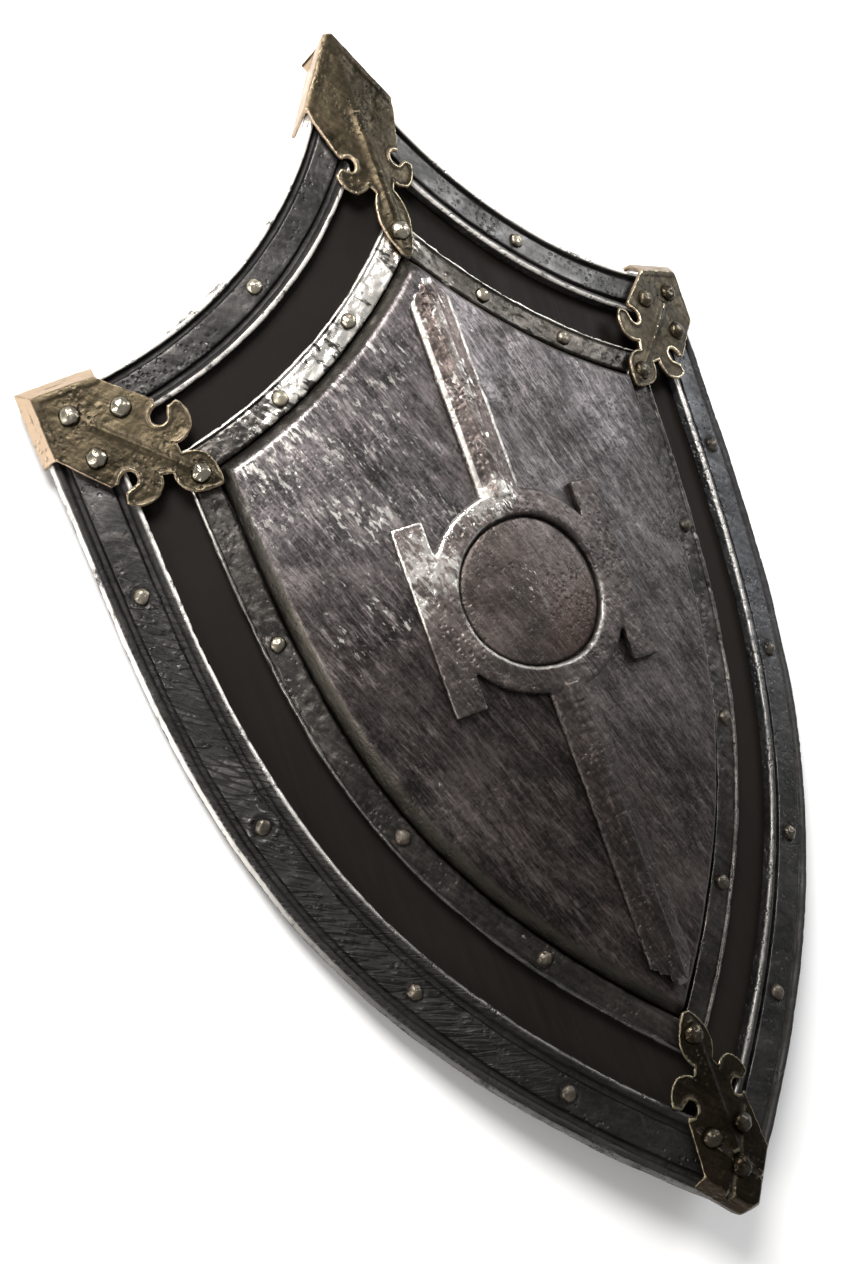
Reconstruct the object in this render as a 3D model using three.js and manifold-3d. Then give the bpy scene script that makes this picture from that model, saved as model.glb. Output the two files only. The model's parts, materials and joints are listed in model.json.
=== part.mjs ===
// Heater shield: a keeled, gently bent board framed by riveted iron bands, with a raised centre
// plate, a ring cross and four brass corner caps. Millimetres, +Z up, lying on its back.
//
// Every piece is first drawn flat, in sheet coordinates: s runs across the face, v runs along the
// keel towards the peak, and h stands out of the face. bend() then wraps the sheet over the keel.
import * as THREE from 'three';
import { mergeVertices } from 'three/addons/utils/BufferGeometryUtils.js';
import Module from 'manifold-3d';

const wasm = await Module();
wasm.setup();

// ---- driving dimensions ---------------------------------------------------------------------

// Outline of the face, measured on the flat sheet from the centre of the ring.
const PEAK = new THREE.Vector2(0, 370);
const CORNER = new THREE.Vector2(236, 187);
const TIP = new THREE.Vector2(0, -370);
const TOP_SAGITTA = 48.6; // how far each hollow top edge dips below its chord
const SIDE_HANDLE_UPPER = new THREE.Vector2(221, -42);
const SIDE_HANDLE_LOWER = new THREE.Vector2(233, -170);

// The bend: a keel down the middle, and an even curve from there to the edges.
const KEEL_ANGLE = 0.136;
const BEND_RADIUS = 1250;
const CUT_STEP = 40; // flat faces wider than this are split before they are bent
const ON_LINE = 1e-5; // closer than this to a fold counts as on it

const GAP = 0.3; // clearance between pieces that touch
const SIDE_GAP = 0.8; // clearance between neighbours that follow the same curve
const MITRE_GAP = 0.5; // clearance at the ends of the bands

// Board.
const BOARD_FRONT = -3;
const BOARD_BACK = -9;
const BOARD_INSET = 4.2; // the rim of the outer band wraps the board's edge
const BOARD_TOP = 332; // the board stops short inside the top cap
const BOARD_CORNER_BLUNT = 0.03; // share of the side curve left off at each corner

// Bands, as distances inwards from the outline.
const OUTER_BAND = 36.6; // along the sides
const OUTER_BAND_TOP = 32.4; // along the two top edges
const CHANNEL = 28.8; // bare board between the outer and the inner band
const INNER_BAND = 17.4;
const BEVEL = 8.4; // sloped wall of the centre plate
const RIM_OUT = 1.6;
const RIM_BOTTOM = -9.5;
const BEAD_TOP = 4.6;
const OUTER_BAND_FACE = 1.8;
const INNER_BAND_FACE = 3.6;
const PEAK_TRIM = 14; // the outer band stops this far from the keel, inside the top cap
const TIP_TRIM = 12; // and this far from it at the tip, inside the bottom cap

// Centre plate, ring cross and boss.
const PLATE_FACE = 10.5;
const RING_INNER = 44.5;
const RING_OUTER = 61;
const RING_FACE = 16;
const STRAP_HALF = 12.5;
const STRAP_RIDGE = 17.6;
const STRAP_UPPER_END = 195;
const STRAP_LOWER_END = -239;
const BAR_INNER = 50.5;
const BAR_OUTER = 70;
const BAR_HALF_LENGTH = 56.5;
const BOSS_RADIUS = RING_INNER - 0.6;
const BOSS_EDGE = 12.2;
const BOSS_TOP = 14.6;

// Corner caps.
const CAP_BOTTOM = 5.1;
const CAP_FACE = 8.6;
const CAP_WALL = 2.6;
const CAP_CHAMFER = 0.8;

// Rivets: radius and height of the head.
const BAND_RIVET = { radius: 5, height: 3.8 };
const CAP_RIVET = { radius: 6.2, height: 4.6 };

// Parts of a turn and of a curve.
const SIDE_STEPS = 20;
const TOP_STEPS = 10;
const INNER_SIDE_STEPS = 18;
const INNER_TOP_STEPS = 8;
const BOARD_COLUMNS = 20;
const PLATE_COLUMNS = 14;
const RING_STEPS = 32;
const RIVET_STEPS = 8;
const CLAW_STEPS = 3;

// ---- materials ------------------------------------------------------------------------------

const finish = (color, roughness, metalness) => ({ color, roughness, metalness });
const BOARD_FINISH = finish(0x2a2521, 0.75, 0.0);
const IRON_FINISH = finish(0x3f3d3e, 0.5, 0.85);
const PLATE_FINISH = finish(0x4a4645, 0.45, 0.85);
const CROSS_FINISH = finish(0x565150, 0.45, 0.9);
const BRASS_FINISH = finish(0x5f5338, 0.45, 0.9);
const RIVET_FINISH = finish(0x77705c, 0.4, 0.9);

// ---- the outline and its offsets ------------------------------------------------------------

const chord = CORNER.clone().sub(PEAK);
const arcRadius = (chord.lengthSq() / 4 + TOP_SAGITTA ** 2) / (2 * TOP_SAGITTA);
const arcOutward = new THREE.Vector2(-chord.y, chord.x).normalize();
const arcCentre = PEAK.clone().add(CORNER).multiplyScalar(0.5)
  .addScaledVector(arcOutward, arcRadius - TOP_SAGITTA);
const sideCurve = new THREE.CubicBezierCurve(CORNER, SIDE_HANDLE_UPPER, SIDE_HANDLE_LOWER, TIP);
const sideLength = sideCurve.getLength();

// The band along the top is a little narrower than the one along the sides.
function topOffset(d) {
  return d < OUTER_BAND ? (d * OUTER_BAND_TOP) / OUTER_BAND : d - OUTER_BAND + OUTER_BAND_TOP;
}

function topHeight(s, d) {
  return arcCentre.y - Math.sqrt((arcRadius + topOffset(d)) ** 2 - (s - arcCentre.x) ** 2);
}

function sidePoint(t, d) {
  const tangent = sideCurve.getTangent(t);
  return sideCurve.getPoint(t).add(new THREE.Vector2(tangent.y, -tangent.x).multiplyScalar(d));
}

// Halves the range until the falling function f crosses zero.
function crossing(f, low, high) {
  let [a, b] = [low, high];
  for (let i = 0; i < 40; i += 1) {
    const middle = (a + b) / 2;
    if (f(middle) > 0) a = middle;
    else b = middle;
  }
  return (a + b) / 2;
}

// Where the side curve, moved in by d, meets the top edge moved in with it.
function cornerParameter(d) {
  return crossing((t) => {
    const point = sidePoint(t, d);
    return point.y - topHeight(point.x, d);
  }, -0.02, 0.6);
}

function tipParameter(d, s) {
  return crossing((t) => sidePoint(t, d).x - s, 0.3, 1.02);
}

// ---- bending --------------------------------------------------------------------------------

function place(s, v, h) {
  if (Math.abs(s) < ON_LINE) return [0, v, h / Math.cos(KEEL_ANGLE)];
  const side = Math.sign(s);
  const turn = KEEL_ANGLE + Math.abs(s) / BEND_RADIUS;
  const across = BEND_RADIUS * (Math.sin(turn) - Math.sin(KEEL_ANGLE));
  const drop = BEND_RADIUS * (Math.cos(KEEL_ANGLE) - Math.cos(turn));
  return [side * (across + h * Math.sin(turn)), v, h * Math.cos(turn) - drop];
}

// Splits every triangle that spans the line s = cut, so that it can fold there.
function splitAt(triangles, cut) {
  const result = [];
  const middle = (a, b) => {
    const [p, q] = a[0] < b[0] ? [a, b] : [b, a];
    const k = (cut - p[0]) / (q[0] - p[0]);
    return [cut, p[1] + k * (q[1] - p[1]), p[2] + k * (q[2] - p[2])];
  };
  for (const triangle of triangles) {
    const sides = triangle.map((p) => (Math.abs(p[0] - cut) < ON_LINE ? 0 : Math.sign(p[0] - cut)));
    if (!(sides.includes(1) && sides.includes(-1))) {
      result.push(triangle);
      continue;
    }
    const polygons = { '1': [], '-1': [] };
    for (let i = 0; i < 3; i += 1) {
      const next = (i + 1) % 3;
      if (sides[i] >= 0) polygons['1'].push(triangle[i]);
      if (sides[i] <= 0) polygons['-1'].push(triangle[i]);
      if (sides[i] * sides[next] < 0) {
        const point = middle(triangle[i], triangle[next]);
        polygons['1'].push(point);
        polygons['-1'].push(point);
      }
    }
    for (const polygon of Object.values(polygons)) {
      for (let i = 2; i < polygon.length; i += 1) {
        result.push([polygon[0], polygon[i - 1], polygon[i]]);
      }
    }
  }
  return result;
}

function trianglesOf(geometry) {
  const flat = geometry.index ? geometry.toNonIndexed() : geometry;
  const p = flat.getAttribute('position').array;
  const triangles = [];
  for (let i = 0; i < p.length; i += 9) {
    triangles.push([0, 3, 6].map((k) => [p[i + k], p[i + k + 1], p[i + k + 2]]));
  }
  return triangles;
}

// A closed, outward-facing geometry from triangles, with shared corners merged.
function closedGeometry(triangles) {
  const geometry = new THREE.BufferGeometry();
  const positions = new Float32Array(triangles.flat(2));
  geometry.setAttribute('position', new THREE.BufferAttribute(positions, 3));
  const merged = mergeVertices(geometry, 2e-4);
  const index = [];
  for (let i = 0; i < merged.index.count; i += 3) {
    const [a, b, c] = [0, 1, 2].map((k) => merged.index.getX(i + k));
    if (a !== b && b !== c && c !== a) index.push(a, b, c);
  }
  merged.setIndex(index);
  if (volumeOf(merged).volume < 0) merged.setIndex(index.reverse());
  return merged;
}

// Signed volume, and the first moment that gives the centre of volume.
function volumeOf(geometry) {
  const [a, b, c, cross] = Array.from({ length: 4 }, () => new THREE.Vector3());
  const position = geometry.getAttribute('position');
  const moment = new THREE.Vector3();
  let volume = 0;
  for (let i = 0; i < geometry.index.count; i += 3) {
    [a, b, c].forEach((p, k) => p.fromBufferAttribute(position, geometry.index.getX(i + k)));
    const part = a.dot(cross.crossVectors(b, c)) / 6;
    volume += part;
    moment.addScaledVector(a.add(b).add(c), part / 4);
  }
  return { volume, moment };
}

// Wraps a flat piece, as triangles in sheet coordinates, over the keel.
function bend(triangles, cutStep = CUT_STEP) {
  const reach = Math.max(...triangles.flat().map((p) => Math.abs(p[0])));
  let split = splitAt(triangles, 0);
  for (let cut = cutStep; cut < reach; cut += cutStep) {
    split = splitAt(splitAt(split, cut), -cut);
  }
  return closedGeometry(split.map((triangle) => triangle.map((p) => place(...p))));
}

function mirrored(triangles) {
  return triangles.map((triangle) => triangle.map(([s, v, h]) => [-s, v, h]));
}

// ---- joining and cutting --------------------------------------------------------------------

function toManifold(geometry) {
  return new wasm.Manifold(new wasm.Mesh({
    numProp: 3,
    vertProperties: new Float32Array(geometry.getAttribute('position').array),
    triVerts: new Uint32Array(geometry.index.array),
  }));
}

function fromManifold(manifold) {
  const { vertProperties, triVerts } = manifold.getMesh();
  const triangles = [];
  for (let i = 0; i < triVerts.length; i += 3) {
    triangles.push([0, 1, 2].map((k) => {
      const start = 3 * triVerts[i + k];
      return Array.from(vertProperties.slice(start, start + 3));
    }));
  }
  return closedGeometry(triangles);
}

function join(geometries) {
  return fromManifold(geometries.map(toManifold).reduce((whole, next) => whole.add(next)));
}

function cut(geometry, tools) {
  const cutters = tools.map(toManifold);
  return fromManifold(cutters.reduce((whole, next) => whole.subtract(next), toManifold(geometry)));
}

// ---- flat builders --------------------------------------------------------------------------

// Joins rows of points, one row for each corner of the section, into a closed strip. Sections
// run anticlockwise.
function stripOf(section, rows) {
  const triangles = [];
  const steps = rows[0].length - 1;
  section.forEach((_, i) => {
    const [row, next] = [rows[i], rows[(i + 1) % section.length]];
    for (let k = 0; k < steps; k += 1) {
      triangles.push([row[k], next[k], next[k + 1]], [row[k], next[k + 1], row[k + 1]]);
    }
  });
  const contour = section.map(([d, h]) => new THREE.Vector2(d, h));
  for (const [a, b, c] of THREE.ShapeUtils.triangulateShape(contour, [])) {
    triangles.push([rows[c][0], rows[b][0], rows[a][0]]);
    triangles.push([rows[a][steps], rows[b][steps], rows[c][steps]]);
  }
  return triangles;
}

// Where a band ends beside the keel: deeper corners lean over it, so they stop sooner.
function keelStop(h, trim) {
  return Math.max(trim, GAP / 2 + Math.max(0, -h) * Math.tan(KEEL_ANGLE) + 0.1);
}

// A band down the right side, from the corner mitre to the keel at the tip.
function sideStrip(section, steps, trim) {
  const rows = section.map(([d, h]) => {
    const start = cornerParameter(d) + MITRE_GAP / sideLength;
    const end = tipParameter(d, keelStop(h, trim));
    return Array.from({ length: steps + 1 }, (_, k) => {
      const point = sidePoint(start + ((end - start) * k) / steps, d);
      return [point.x, point.y, h];
    });
  });
  return stripOf(section, rows);
}

// A band along the right top edge, from the keel at the peak to the corner mitre.
function topStrip(section, steps, trim) {
  const rows = section.map(([d, h]) => {
    const radius = arcRadius + topOffset(d);
    const start = Math.PI + Math.acos((arcCentre.x - keelStop(h, trim)) / radius);
    const corner = sidePoint(cornerParameter(d), d);
    const end = Math.PI + Math.acos((arcCentre.x - corner.x) / radius) - MITRE_GAP / radius;
    return Array.from({ length: steps + 1 }, (_, k) => {
      const angle = start + ((end - start) * k) / steps;
      return [arcCentre.x + radius * Math.cos(angle), arcCentre.y + radius * Math.sin(angle), h];
    });
  });
  return stripOf(section, rows);
}

// One closed ring of points round the whole face, moved in by d, in matching columns.
function faceRing(d, h, columns, blunt, highest) {
  const tip = tipParameter(d, 0);
  const corner = cornerParameter(d) + blunt;
  const low = Array.from({ length: columns + 1 }, (_, k) => {
    const point = sidePoint(tip + ((corner - tip) * k) / columns, d);
    return [k === 0 ? 0 : point.x, point.y, h];
  });
  const high = low.map(([s]) => [s, Math.min(highest, topHeight(s, d)), h]);
  return { low, high };
}

// A slab that follows the whole face, built up through rings from its underside to its face.
function faceSlab(rings) {
  const triangles = [];
  const quad = (a, b, c, d) => triangles.push([a, b, c], [a, c, d]);
  const columns = rings[0].low.length - 1;
  for (let k = 0; k < columns; k += 1) {
    const [under, over] = [rings[0], rings[rings.length - 1]];
    quad(under.high[k], under.high[k + 1], under.low[k + 1], under.low[k]);
    quad(over.low[k], over.low[k + 1], over.high[k + 1], over.high[k]);
  }
  for (let i = 0; i + 1 < rings.length; i += 1) {
    const [a, b] = [rings[i], rings[i + 1]];
    for (let k = 0; k < columns; k += 1) {
      quad(a.low[k], a.low[k + 1], b.low[k + 1], b.low[k]);
      quad(a.high[k + 1], a.high[k], b.high[k], b.high[k + 1]);
    }
    quad(a.low[columns], a.high[columns], b.high[columns], b.low[columns]);
  }
  const other = mirrored(triangles).map(([a, b, c]) => [a, c, b]);
  return triangles.concat(other);
}

function extruded(shape, bottom, top, bevel) {
  const geometry = new THREE.ExtrudeGeometry(shape, {
    depth: top - bottom - 2 * bevel,
    bevelEnabled: bevel > 0,
    bevelThickness: bevel,
    bevelSize: bevel,
    bevelOffset: -bevel,
    bevelSegments: 1,
    curveSegments: 5,
  });
  geometry.translate(0, 0, bottom + bevel);
  return trianglesOf(geometry);
}

// A turned piece standing on the face, its profile given as radius and height.
function turned(profile, steps, s = 0, v = 0) {
  const points = profile.map(([radius, h]) => new THREE.Vector2(radius, h));
  const geometry = new THREE.LatheGeometry(points, steps);
  geometry.rotateX(Math.PI / 2);
  geometry.translate(s, v, 0);
  return trianglesOf(geometry).filter((t) => new Set(t.map(String)).size === 3);
}

// ---- board, bands and centre plate ----------------------------------------------------------

// The back is flat for one column on each side of the keel.
function makeBoard() {
  const [back, front] = [BOARD_BACK, BOARD_FRONT].map(
    (h) => faceRing(BOARD_INSET, h, BOARD_COLUMNS, BOARD_CORNER_BLUNT, BOARD_TOP),
  );
  const flatBack = place(back.low[1][0], 0, BOARD_BACK)[2] * Math.cos(KEEL_ANGLE);
  back.low[0][2] = flatBack;
  back.high[0][2] = flatBack;
  return closedGeometry(faceSlab([back, front]).map((t) => t.map((p) => place(...p))));
}

// Rolled rim, groove, flat face, second groove and the raised bead beside the channel.
function outerBandSection() {
  const under = BOARD_FRONT + GAP;
  const w = OUTER_BAND;
  return [
    [2.5, RIM_BOTTOM], [2.5, under], [w, under], [w, 3.2], [w - 1.6, BEAD_TOP],
    [w - 4.4, BEAD_TOP], [w - 6, 2.6], [w - 6.6, -0.6], [w - 9.2, -0.6],
    [w - 10, OUTER_BAND_FACE], [9.4, OUTER_BAND_FACE + 0.2], [8.4, -1], [5.4, -1], [4.6, 1.5],
    [3, 2.4], [1.2, 1.7], [-RIM_OUT, -2.4], [-RIM_OUT, RIM_BOTTOM],
  ];
}

// The room that the caps leave round the outer band.
function outerBandRoom() {
  const margin = 0.45;
  return [
    [-RIM_OUT - margin, RIM_BOTTOM - margin], [OUTER_BAND + margin, RIM_BOTTOM - margin],
    [OUTER_BAND + margin, BEAD_TOP + 0.3], [-RIM_OUT + 2, BEAD_TOP + 0.3],
    [-RIM_OUT - margin, -1],
  ];
}

function innerBandSection() {
  const start = OUTER_BAND + CHANNEL;
  const end = start + INNER_BAND;
  const under = BOARD_FRONT + GAP;
  return [
    [start, under], [end, under], [end, INNER_BAND_FACE - 1], [end - 1, INNER_BAND_FACE],
    [start + 2.6, INNER_BAND_FACE], [start + 1.8, 4.4], [start + 0.7, 4.3], [start, 3.2],
  ];
}

function makePlate() {
  const start = OUTER_BAND + CHANNEL + INNER_BAND + SIDE_GAP;
  const levels = [
    [start, BOARD_FRONT + GAP], [start, 1], [start + BEVEL - 1.2, PLATE_FACE - 0.6],
    [start + BEVEL, PLATE_FACE],
  ];
  const rings = levels.map(([d, h]) => faceRing(d, h, PLATE_COLUMNS, 0.002, Infinity));
  return closedGeometry(faceSlab(rings).map((t) => t.map((p) => place(...p))));
}

// ---- ring cross and boss --------------------------------------------------------------------

const CROSS_BOTTOM = PLATE_FACE + GAP;

// A ridged strap along the keel from v = start to a pointed end.
function strap(start, end) {
  const section = [
    [-STRAP_HALF, CROSS_BOTTOM], [0, CROSS_BOTTOM], [STRAP_HALF, CROSS_BOTTOM],
    [STRAP_HALF, CROSS_BOTTOM + 2.4], [STRAP_HALF - 2.5, RING_FACE - 1], [0, STRAP_RIDGE],
    [2.5 - STRAP_HALF, RING_FACE - 1], [-STRAP_HALF, CROSS_BOTTOM + 2.4],
  ];
  const point = Math.sign(start - end) * 1.2;
  const rows = section.map(([s, h]) => [[s, start, h], [s, end + point * Math.abs(s), h]]);
  return stripOf(section, rows);
}

function bar(side) {
  const shape = new THREE.Shape([
    new THREE.Vector2(side * BAR_INNER, -BAR_HALF_LENGTH),
    new THREE.Vector2(side * BAR_OUTER, -BAR_HALF_LENGTH),
    new THREE.Vector2(side * BAR_OUTER, BAR_HALF_LENGTH),
    new THREE.Vector2(side * BAR_INNER, BAR_HALF_LENGTH),
  ]);
  return extruded(shape, CROSS_BOTTOM, RING_FACE, 1.2);
}

function makeCross() {
  const chamfer = 1.8;
  const ring = turned([
    [RING_INNER, CROSS_BOTTOM], [RING_OUTER, CROSS_BOTTOM], [RING_OUTER, RING_FACE - chamfer],
    [RING_OUTER - chamfer, RING_FACE], [RING_INNER + chamfer, RING_FACE],
    [RING_INNER, RING_FACE - chamfer], [RING_INNER, CROSS_BOTTOM],
  ], RING_STEPS);
  const overlap = 4;
  const pieces = [
    ring,
    strap(RING_OUTER - overlap, STRAP_UPPER_END),
    strap(overlap - RING_OUTER, STRAP_LOWER_END),
    bar(1),
    bar(-1),
  ];
  return join(pieces.map((piece) => bend(piece)));
}

function makeBoss() {
  const profile = [[0, CROSS_BOTTOM], [BOSS_RADIUS, CROSS_BOTTOM], [BOSS_RADIUS, BOSS_EDGE]];
  const rise = BOSS_TOP - BOSS_EDGE;
  for (const share of [0.85, 0.45, 0]) {
    profile.push([BOSS_RADIUS * share, BOSS_EDGE + rise * Math.sqrt(1 - share * share)]);
  }
  return bend(turned(profile, RING_STEPS));
}

// ---- corner caps ----------------------------------------------------------------------------

// Each cap is drawn along its own axis: p runs from the outline's corner towards the centre of
// the shield and q across it. body is one half of the plate, from its outer point to the claws.
const CAPS = {
  top: {
    origin: [0, 370], axis: [0, -1], body: [[15, 0], [59, 28], [66, 27], [90, 20]],
    skirt: { reach: 2.6, slope: 1.2, bottom: -28, blunt: 0.5 },
    clawWidth: 21, tongueTip: 159, rivets: [[143, 0]],
  },
  right: {
    origin: [236, 190], axis: [-0.745, -0.667], body: [[5, 0], [31, 26], [64, 28]],
    skirt: { reach: 8.4, slope: 7.6, bottom: -5 },
    clawWidth: 28, tongueTip: 118, rivets: [[27, 0], [50, 16], [50, -16], [105, 0]],
  },
  left: {
    origin: [-236, 190], axis: [0.745, -0.667], body: [[5, 0], [31, 26], [64, 28]],
    skirt: { reach: 8.4, slope: 7.6, bottom: -5 },
    clawWidth: 28, tongueTip: 118, rivets: [[27, 0], [50, 16], [50, -16], [105, 0]],
  },
  bottom: {
    origin: [0, -370], axis: [0, 1], body: [[5, 0], [31, 22], [60, 20]],
    skirt: { reach: 8, slope: 7.6, bottom: -9.5, blunt: 0.5 },
    clawWidth: 22, tongueTip: 117, rivets: [[27, 0], [48, 10], [48, -10], [104, 0]],
  },
};

// Turns a cap's own p and q into sheet coordinates.
function capPoint({ origin, axis }, p, q) {
  const length = Math.hypot(...axis);
  const [e, f] = [axis[0] / length, axis[1] / length];
  return [origin[0] + p * e - q * f, origin[1] + p * f + q * e];
}

// Half of the cap's outline: plate, round notch, claw, neck and leaf-shaped tongue.
function capHalf({ body, clawWidth: w, tongueTip }) {
  const start = body[body.length - 1][0];
  const path = new THREE.Path();
  path.moveTo(...body[0]);
  body.slice(1).forEach(([p, q]) => path.lineTo(p, q));
  path.lineTo(start + 2, 0.9 * w);
  path.quadraticCurveTo(start - 1, 0.62 * w, start + 5, 0.5 * w);
  path.quadraticCurveTo(start + 12, 0.46 * w, start + 13, 0.72 * w);
  path.lineTo(start + 9.5, 0.98 * w);
  path.lineTo(start + 12, 1.14 * w);
  path.quadraticCurveTo(start + 21, 1.12 * w, start + 25, 0.78 * w);
  path.quadraticCurveTo(start + 25, 0.42 * w, start + 20, 0.36 * w);
  path.lineTo(start + 27, 0.2 * w);
  const leaf = tongueTip - start - 27;
  path.quadraticCurveTo(start + 27 + 0.3 * leaf, 0.52 * w, start + 27 + 0.62 * leaf, 0.34 * w);
  path.quadraticCurveTo(tongueTip - 3, 0.16 * w, tongueTip, 0);
  return path.getPoints(CLAW_STEPS);
}

function capShape(cap) {
  const half = capHalf(cap);
  const rest = half.slice(1, -1).reverse().map(({ x, y }) => new THREE.Vector2(x, -y));
  return new THREE.Shape([...half, ...rest].map(({ x, y }) => new THREE.Vector2(...capPoint(cap, x, y))));
}

// The folded skirt outside the plate's two outer edges. It slopes down over the rim and then
// hangs as a wall. A blunt skirt is cut across at its point; the others are mitred there.
function capSkirt(cap) {
  const { reach, slope, bottom, blunt } = cap.skirt;
  const inner = reach - CAP_WALL;
  const section = [
    [-3, CAP_BOTTOM], [Math.max(inner - 3, 0), CAP_BOTTOM], [inner, CAP_BOTTOM - slope],
    [inner, bottom], [reach, bottom], [reach, CAP_FACE - slope], [0.6, CAP_FACE], [-3, CAP_FACE],
  ];
  const [point, end] = cap.body;
  const along = new THREE.Vector2(end[0] - point[0], end[1] - point[1]).normalize();
  const out = new THREE.Vector2(-along.y, along.x);
  const rows = section.map(([o, h]) => {
    const last = [end[0] + out.x * o, end[1] + out.y * o];
    let corner = [point[0] - o / along.y, 0];
    if (blunt && o > 0) {
      corner = [point[0] - o * blunt, (o * (1 - along.y * blunt)) / along.x];
    }
    const half = blunt ? [[corner[0], -corner[1]], corner] : [corner];
    return [[last[0], -last[1]], ...half, last].map(([p, q]) => [...capPoint(cap, p, q), h]);
  });
  return stripOf(section, rows);
}

function makeCap(cap, rooms) {
  const plate = bend(extruded(capShape(cap), CAP_BOTTOM, CAP_FACE, CAP_CHAMFER));
  return cut(join([plate, bend(capSkirt(cap))]), rooms);
}

// ---- rivets ---------------------------------------------------------------------------------

function makeRivet({ radius, height }, s, v, face) {
  const base = face + GAP;
  const profile = [
    [0, base], [radius, base], [0.94 * radius, base + 0.4 * height],
    [0.62 * radius, base + 0.85 * height], [0, base + height],
  ];
  const flat = turned(profile, RIVET_STEPS);
  const [x, y, z] = place(s, v, 0);
  const geometry = closedGeometry(flat);
  const turn = Math.sign(s) * (KEEL_ANGLE + Math.abs(s) / BEND_RADIUS);
  geometry.rotateY(turn);
  geometry.translate(x, y, z);
  return geometry;
}

// Heads stand on the middle of each band: places along v on the sides, and along s at the top.
const OUTER_MIDDLE = 18;
const INNER_MIDDLE = OUTER_BAND + CHANNEL + INNER_BAND / 2 + 0.6;
const OUTER_SIDE_RIVETS = [65, -76, -188, -270];
const OUTER_TOP_RIVETS = [93];
const INNER_SIDE_RIVETS = [16, -107, -197];
const INNER_TOP_RIVETS = [47, 101];

function onSide(d, v) {
  const t = crossing((k) => sidePoint(k, d).y - v, 0, 1);
  return [sidePoint(t, d).x, v];
}

function onTop(d, s) {
  return [s, topHeight(s, d)];
}

// ---- assembly -------------------------------------------------------------------------------

const shield = new THREE.Group();

function addPiece(name, geometry, { color, roughness, metalness }) {
  geometry.computeVertexNormals();
  const material = new THREE.MeshStandardMaterial({ color, roughness, metalness });
  const mesh = new THREE.Mesh(geometry, material);
  mesh.name = name;
  shield.add(mesh);
}

// Strips are already in short steps and keep to one side of the keel, so nothing is split.
function bentPair(triangles) {
  return [bend(triangles, Infinity), bend(mirrored(triangles), Infinity)];
}

function addPair(name, triangles) {
  const [right, left] = bentPair(triangles);
  addPiece(`${name}_right`, right, IRON_FINISH);
  addPiece(`${name}_left`, left, IRON_FINISH);
}

addPiece('board', makeBoard(), BOARD_FINISH);
addPiece('centre_plate', makePlate(), PLATE_FINISH);
addPiece('ring_cross', makeCross(), CROSS_FINISH);
addPiece('boss_disc', makeBoss(), PLATE_FINISH);
addPair('outer_band_side', sideStrip(outerBandSection(), SIDE_STEPS, TIP_TRIM));
addPair('outer_band_top', topStrip(outerBandSection(), TOP_STEPS, PEAK_TRIM));
addPair('inner_band_side', sideStrip(innerBandSection(), INNER_SIDE_STEPS, 0));
addPair('inner_band_top', topStrip(innerBandSection(), INNER_TOP_STEPS, 0));

const roomStrips = [
  sideStrip(outerBandRoom(), SIDE_STEPS, TIP_TRIM - GAP),
  topStrip(outerBandRoom(), TOP_STEPS, PEAK_TRIM - GAP),
];
const rooms = roomStrips.flatMap(bentPair);

for (const [name, cap] of Object.entries(CAPS)) {
  addPiece(`cap_${name}`, makeCap(cap, rooms), BRASS_FINISH);
  cap.rivets.forEach(([p, q], i) => {
    const [s, v] = capPoint(cap, p, q);
    addPiece(`rivet_cap_${name}_${i + 1}`, makeRivet(CAP_RIVET, s, v, CAP_FACE), BRASS_FINISH);
  });
}

function addBandRivets(name, places, findPlace, middle, face) {
  places.forEach((along, i) => {
    const [s, v] = findPlace(middle, along);
    for (const [side, sign] of [['right', 1], ['left', -1]]) {
      const head = makeRivet(BAND_RIVET, sign * s, v, face);
      addPiece(`rivet_${name}_${side}_${i + 1}`, head, RIVET_FINISH);
    }
  });
}

const outerFace = OUTER_BAND_FACE + 0.2;
addBandRivets('outer_side', OUTER_SIDE_RIVETS, onSide, OUTER_MIDDLE, outerFace);
addBandRivets('outer_top', OUTER_TOP_RIVETS, onTop, OUTER_MIDDLE, outerFace);
addBandRivets('inner_side', INNER_SIDE_RIVETS, onSide, INNER_MIDDLE, INNER_BAND_FACE);
addBandRivets('inner_top', INNER_TOP_RIVETS, onTop, INNER_MIDDLE, INNER_BAND_FACE);

// ---- lying at rest --------------------------------------------------------------------------

// The shield lies on its back. Seen from the side, the lowest hull of all its points has one edge
// below the centre of volume, and the shield turns until that edge lies on the ground.
function restAngle(meshes) {
  const points = [];
  const total = { volume: 0, moment: new THREE.Vector3() };
  for (const { geometry } of meshes) {
    const position = geometry.getAttribute('position');
    for (let i = 0; i < position.count; i += 1) points.push([position.getY(i), position.getZ(i)]);
    const { volume, moment } = volumeOf(geometry);
    total.volume += volume;
    total.moment.add(moment);
  }
  const centre = total.moment.divideScalar(total.volume);
  points.sort((a, b) => a[0] - b[0] || a[1] - b[1]);
  const hull = [];
  for (const point of points) {
    while (hull.length > 1) {
      const [a, b] = hull.slice(-2);
      if ((b[0] - a[0]) * (point[1] - a[1]) - (b[1] - a[1]) * (point[0] - a[0]) > 0) break;
      hull.pop();
    }
    hull.push(point);
  }
  const edge = hull.slice(1).map((b, i) => [hull[i], b]).find(([a, b]) => {
    const across = [b[0] - a[0], b[1] - a[1]];
    const along = (centre.y - a[0]) * across[0] + (centre.z - a[1]) * across[1];
    return along > 0 && along < across[0] ** 2 + across[1] ** 2;
  });
  return -Math.atan2(edge[1][1] - edge[0][1], edge[1][0] - edge[0][0]);
}

shield.rotation.x = restAngle(shield.children);
shield.updateMatrixWorld(true);
const box = new THREE.Box3().setFromObject(shield, true);
shield.position.set(-(box.min.x + box.max.x) / 2, -(box.min.y + box.max.y) / 2, -box.min.z);

const part = new THREE.Group();
part.add(shield);

export default part;
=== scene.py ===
"""Looks of a riveted heater shield: bands, centre plate, ring cross, corner caps and rivets."""

import json
import math

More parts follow.
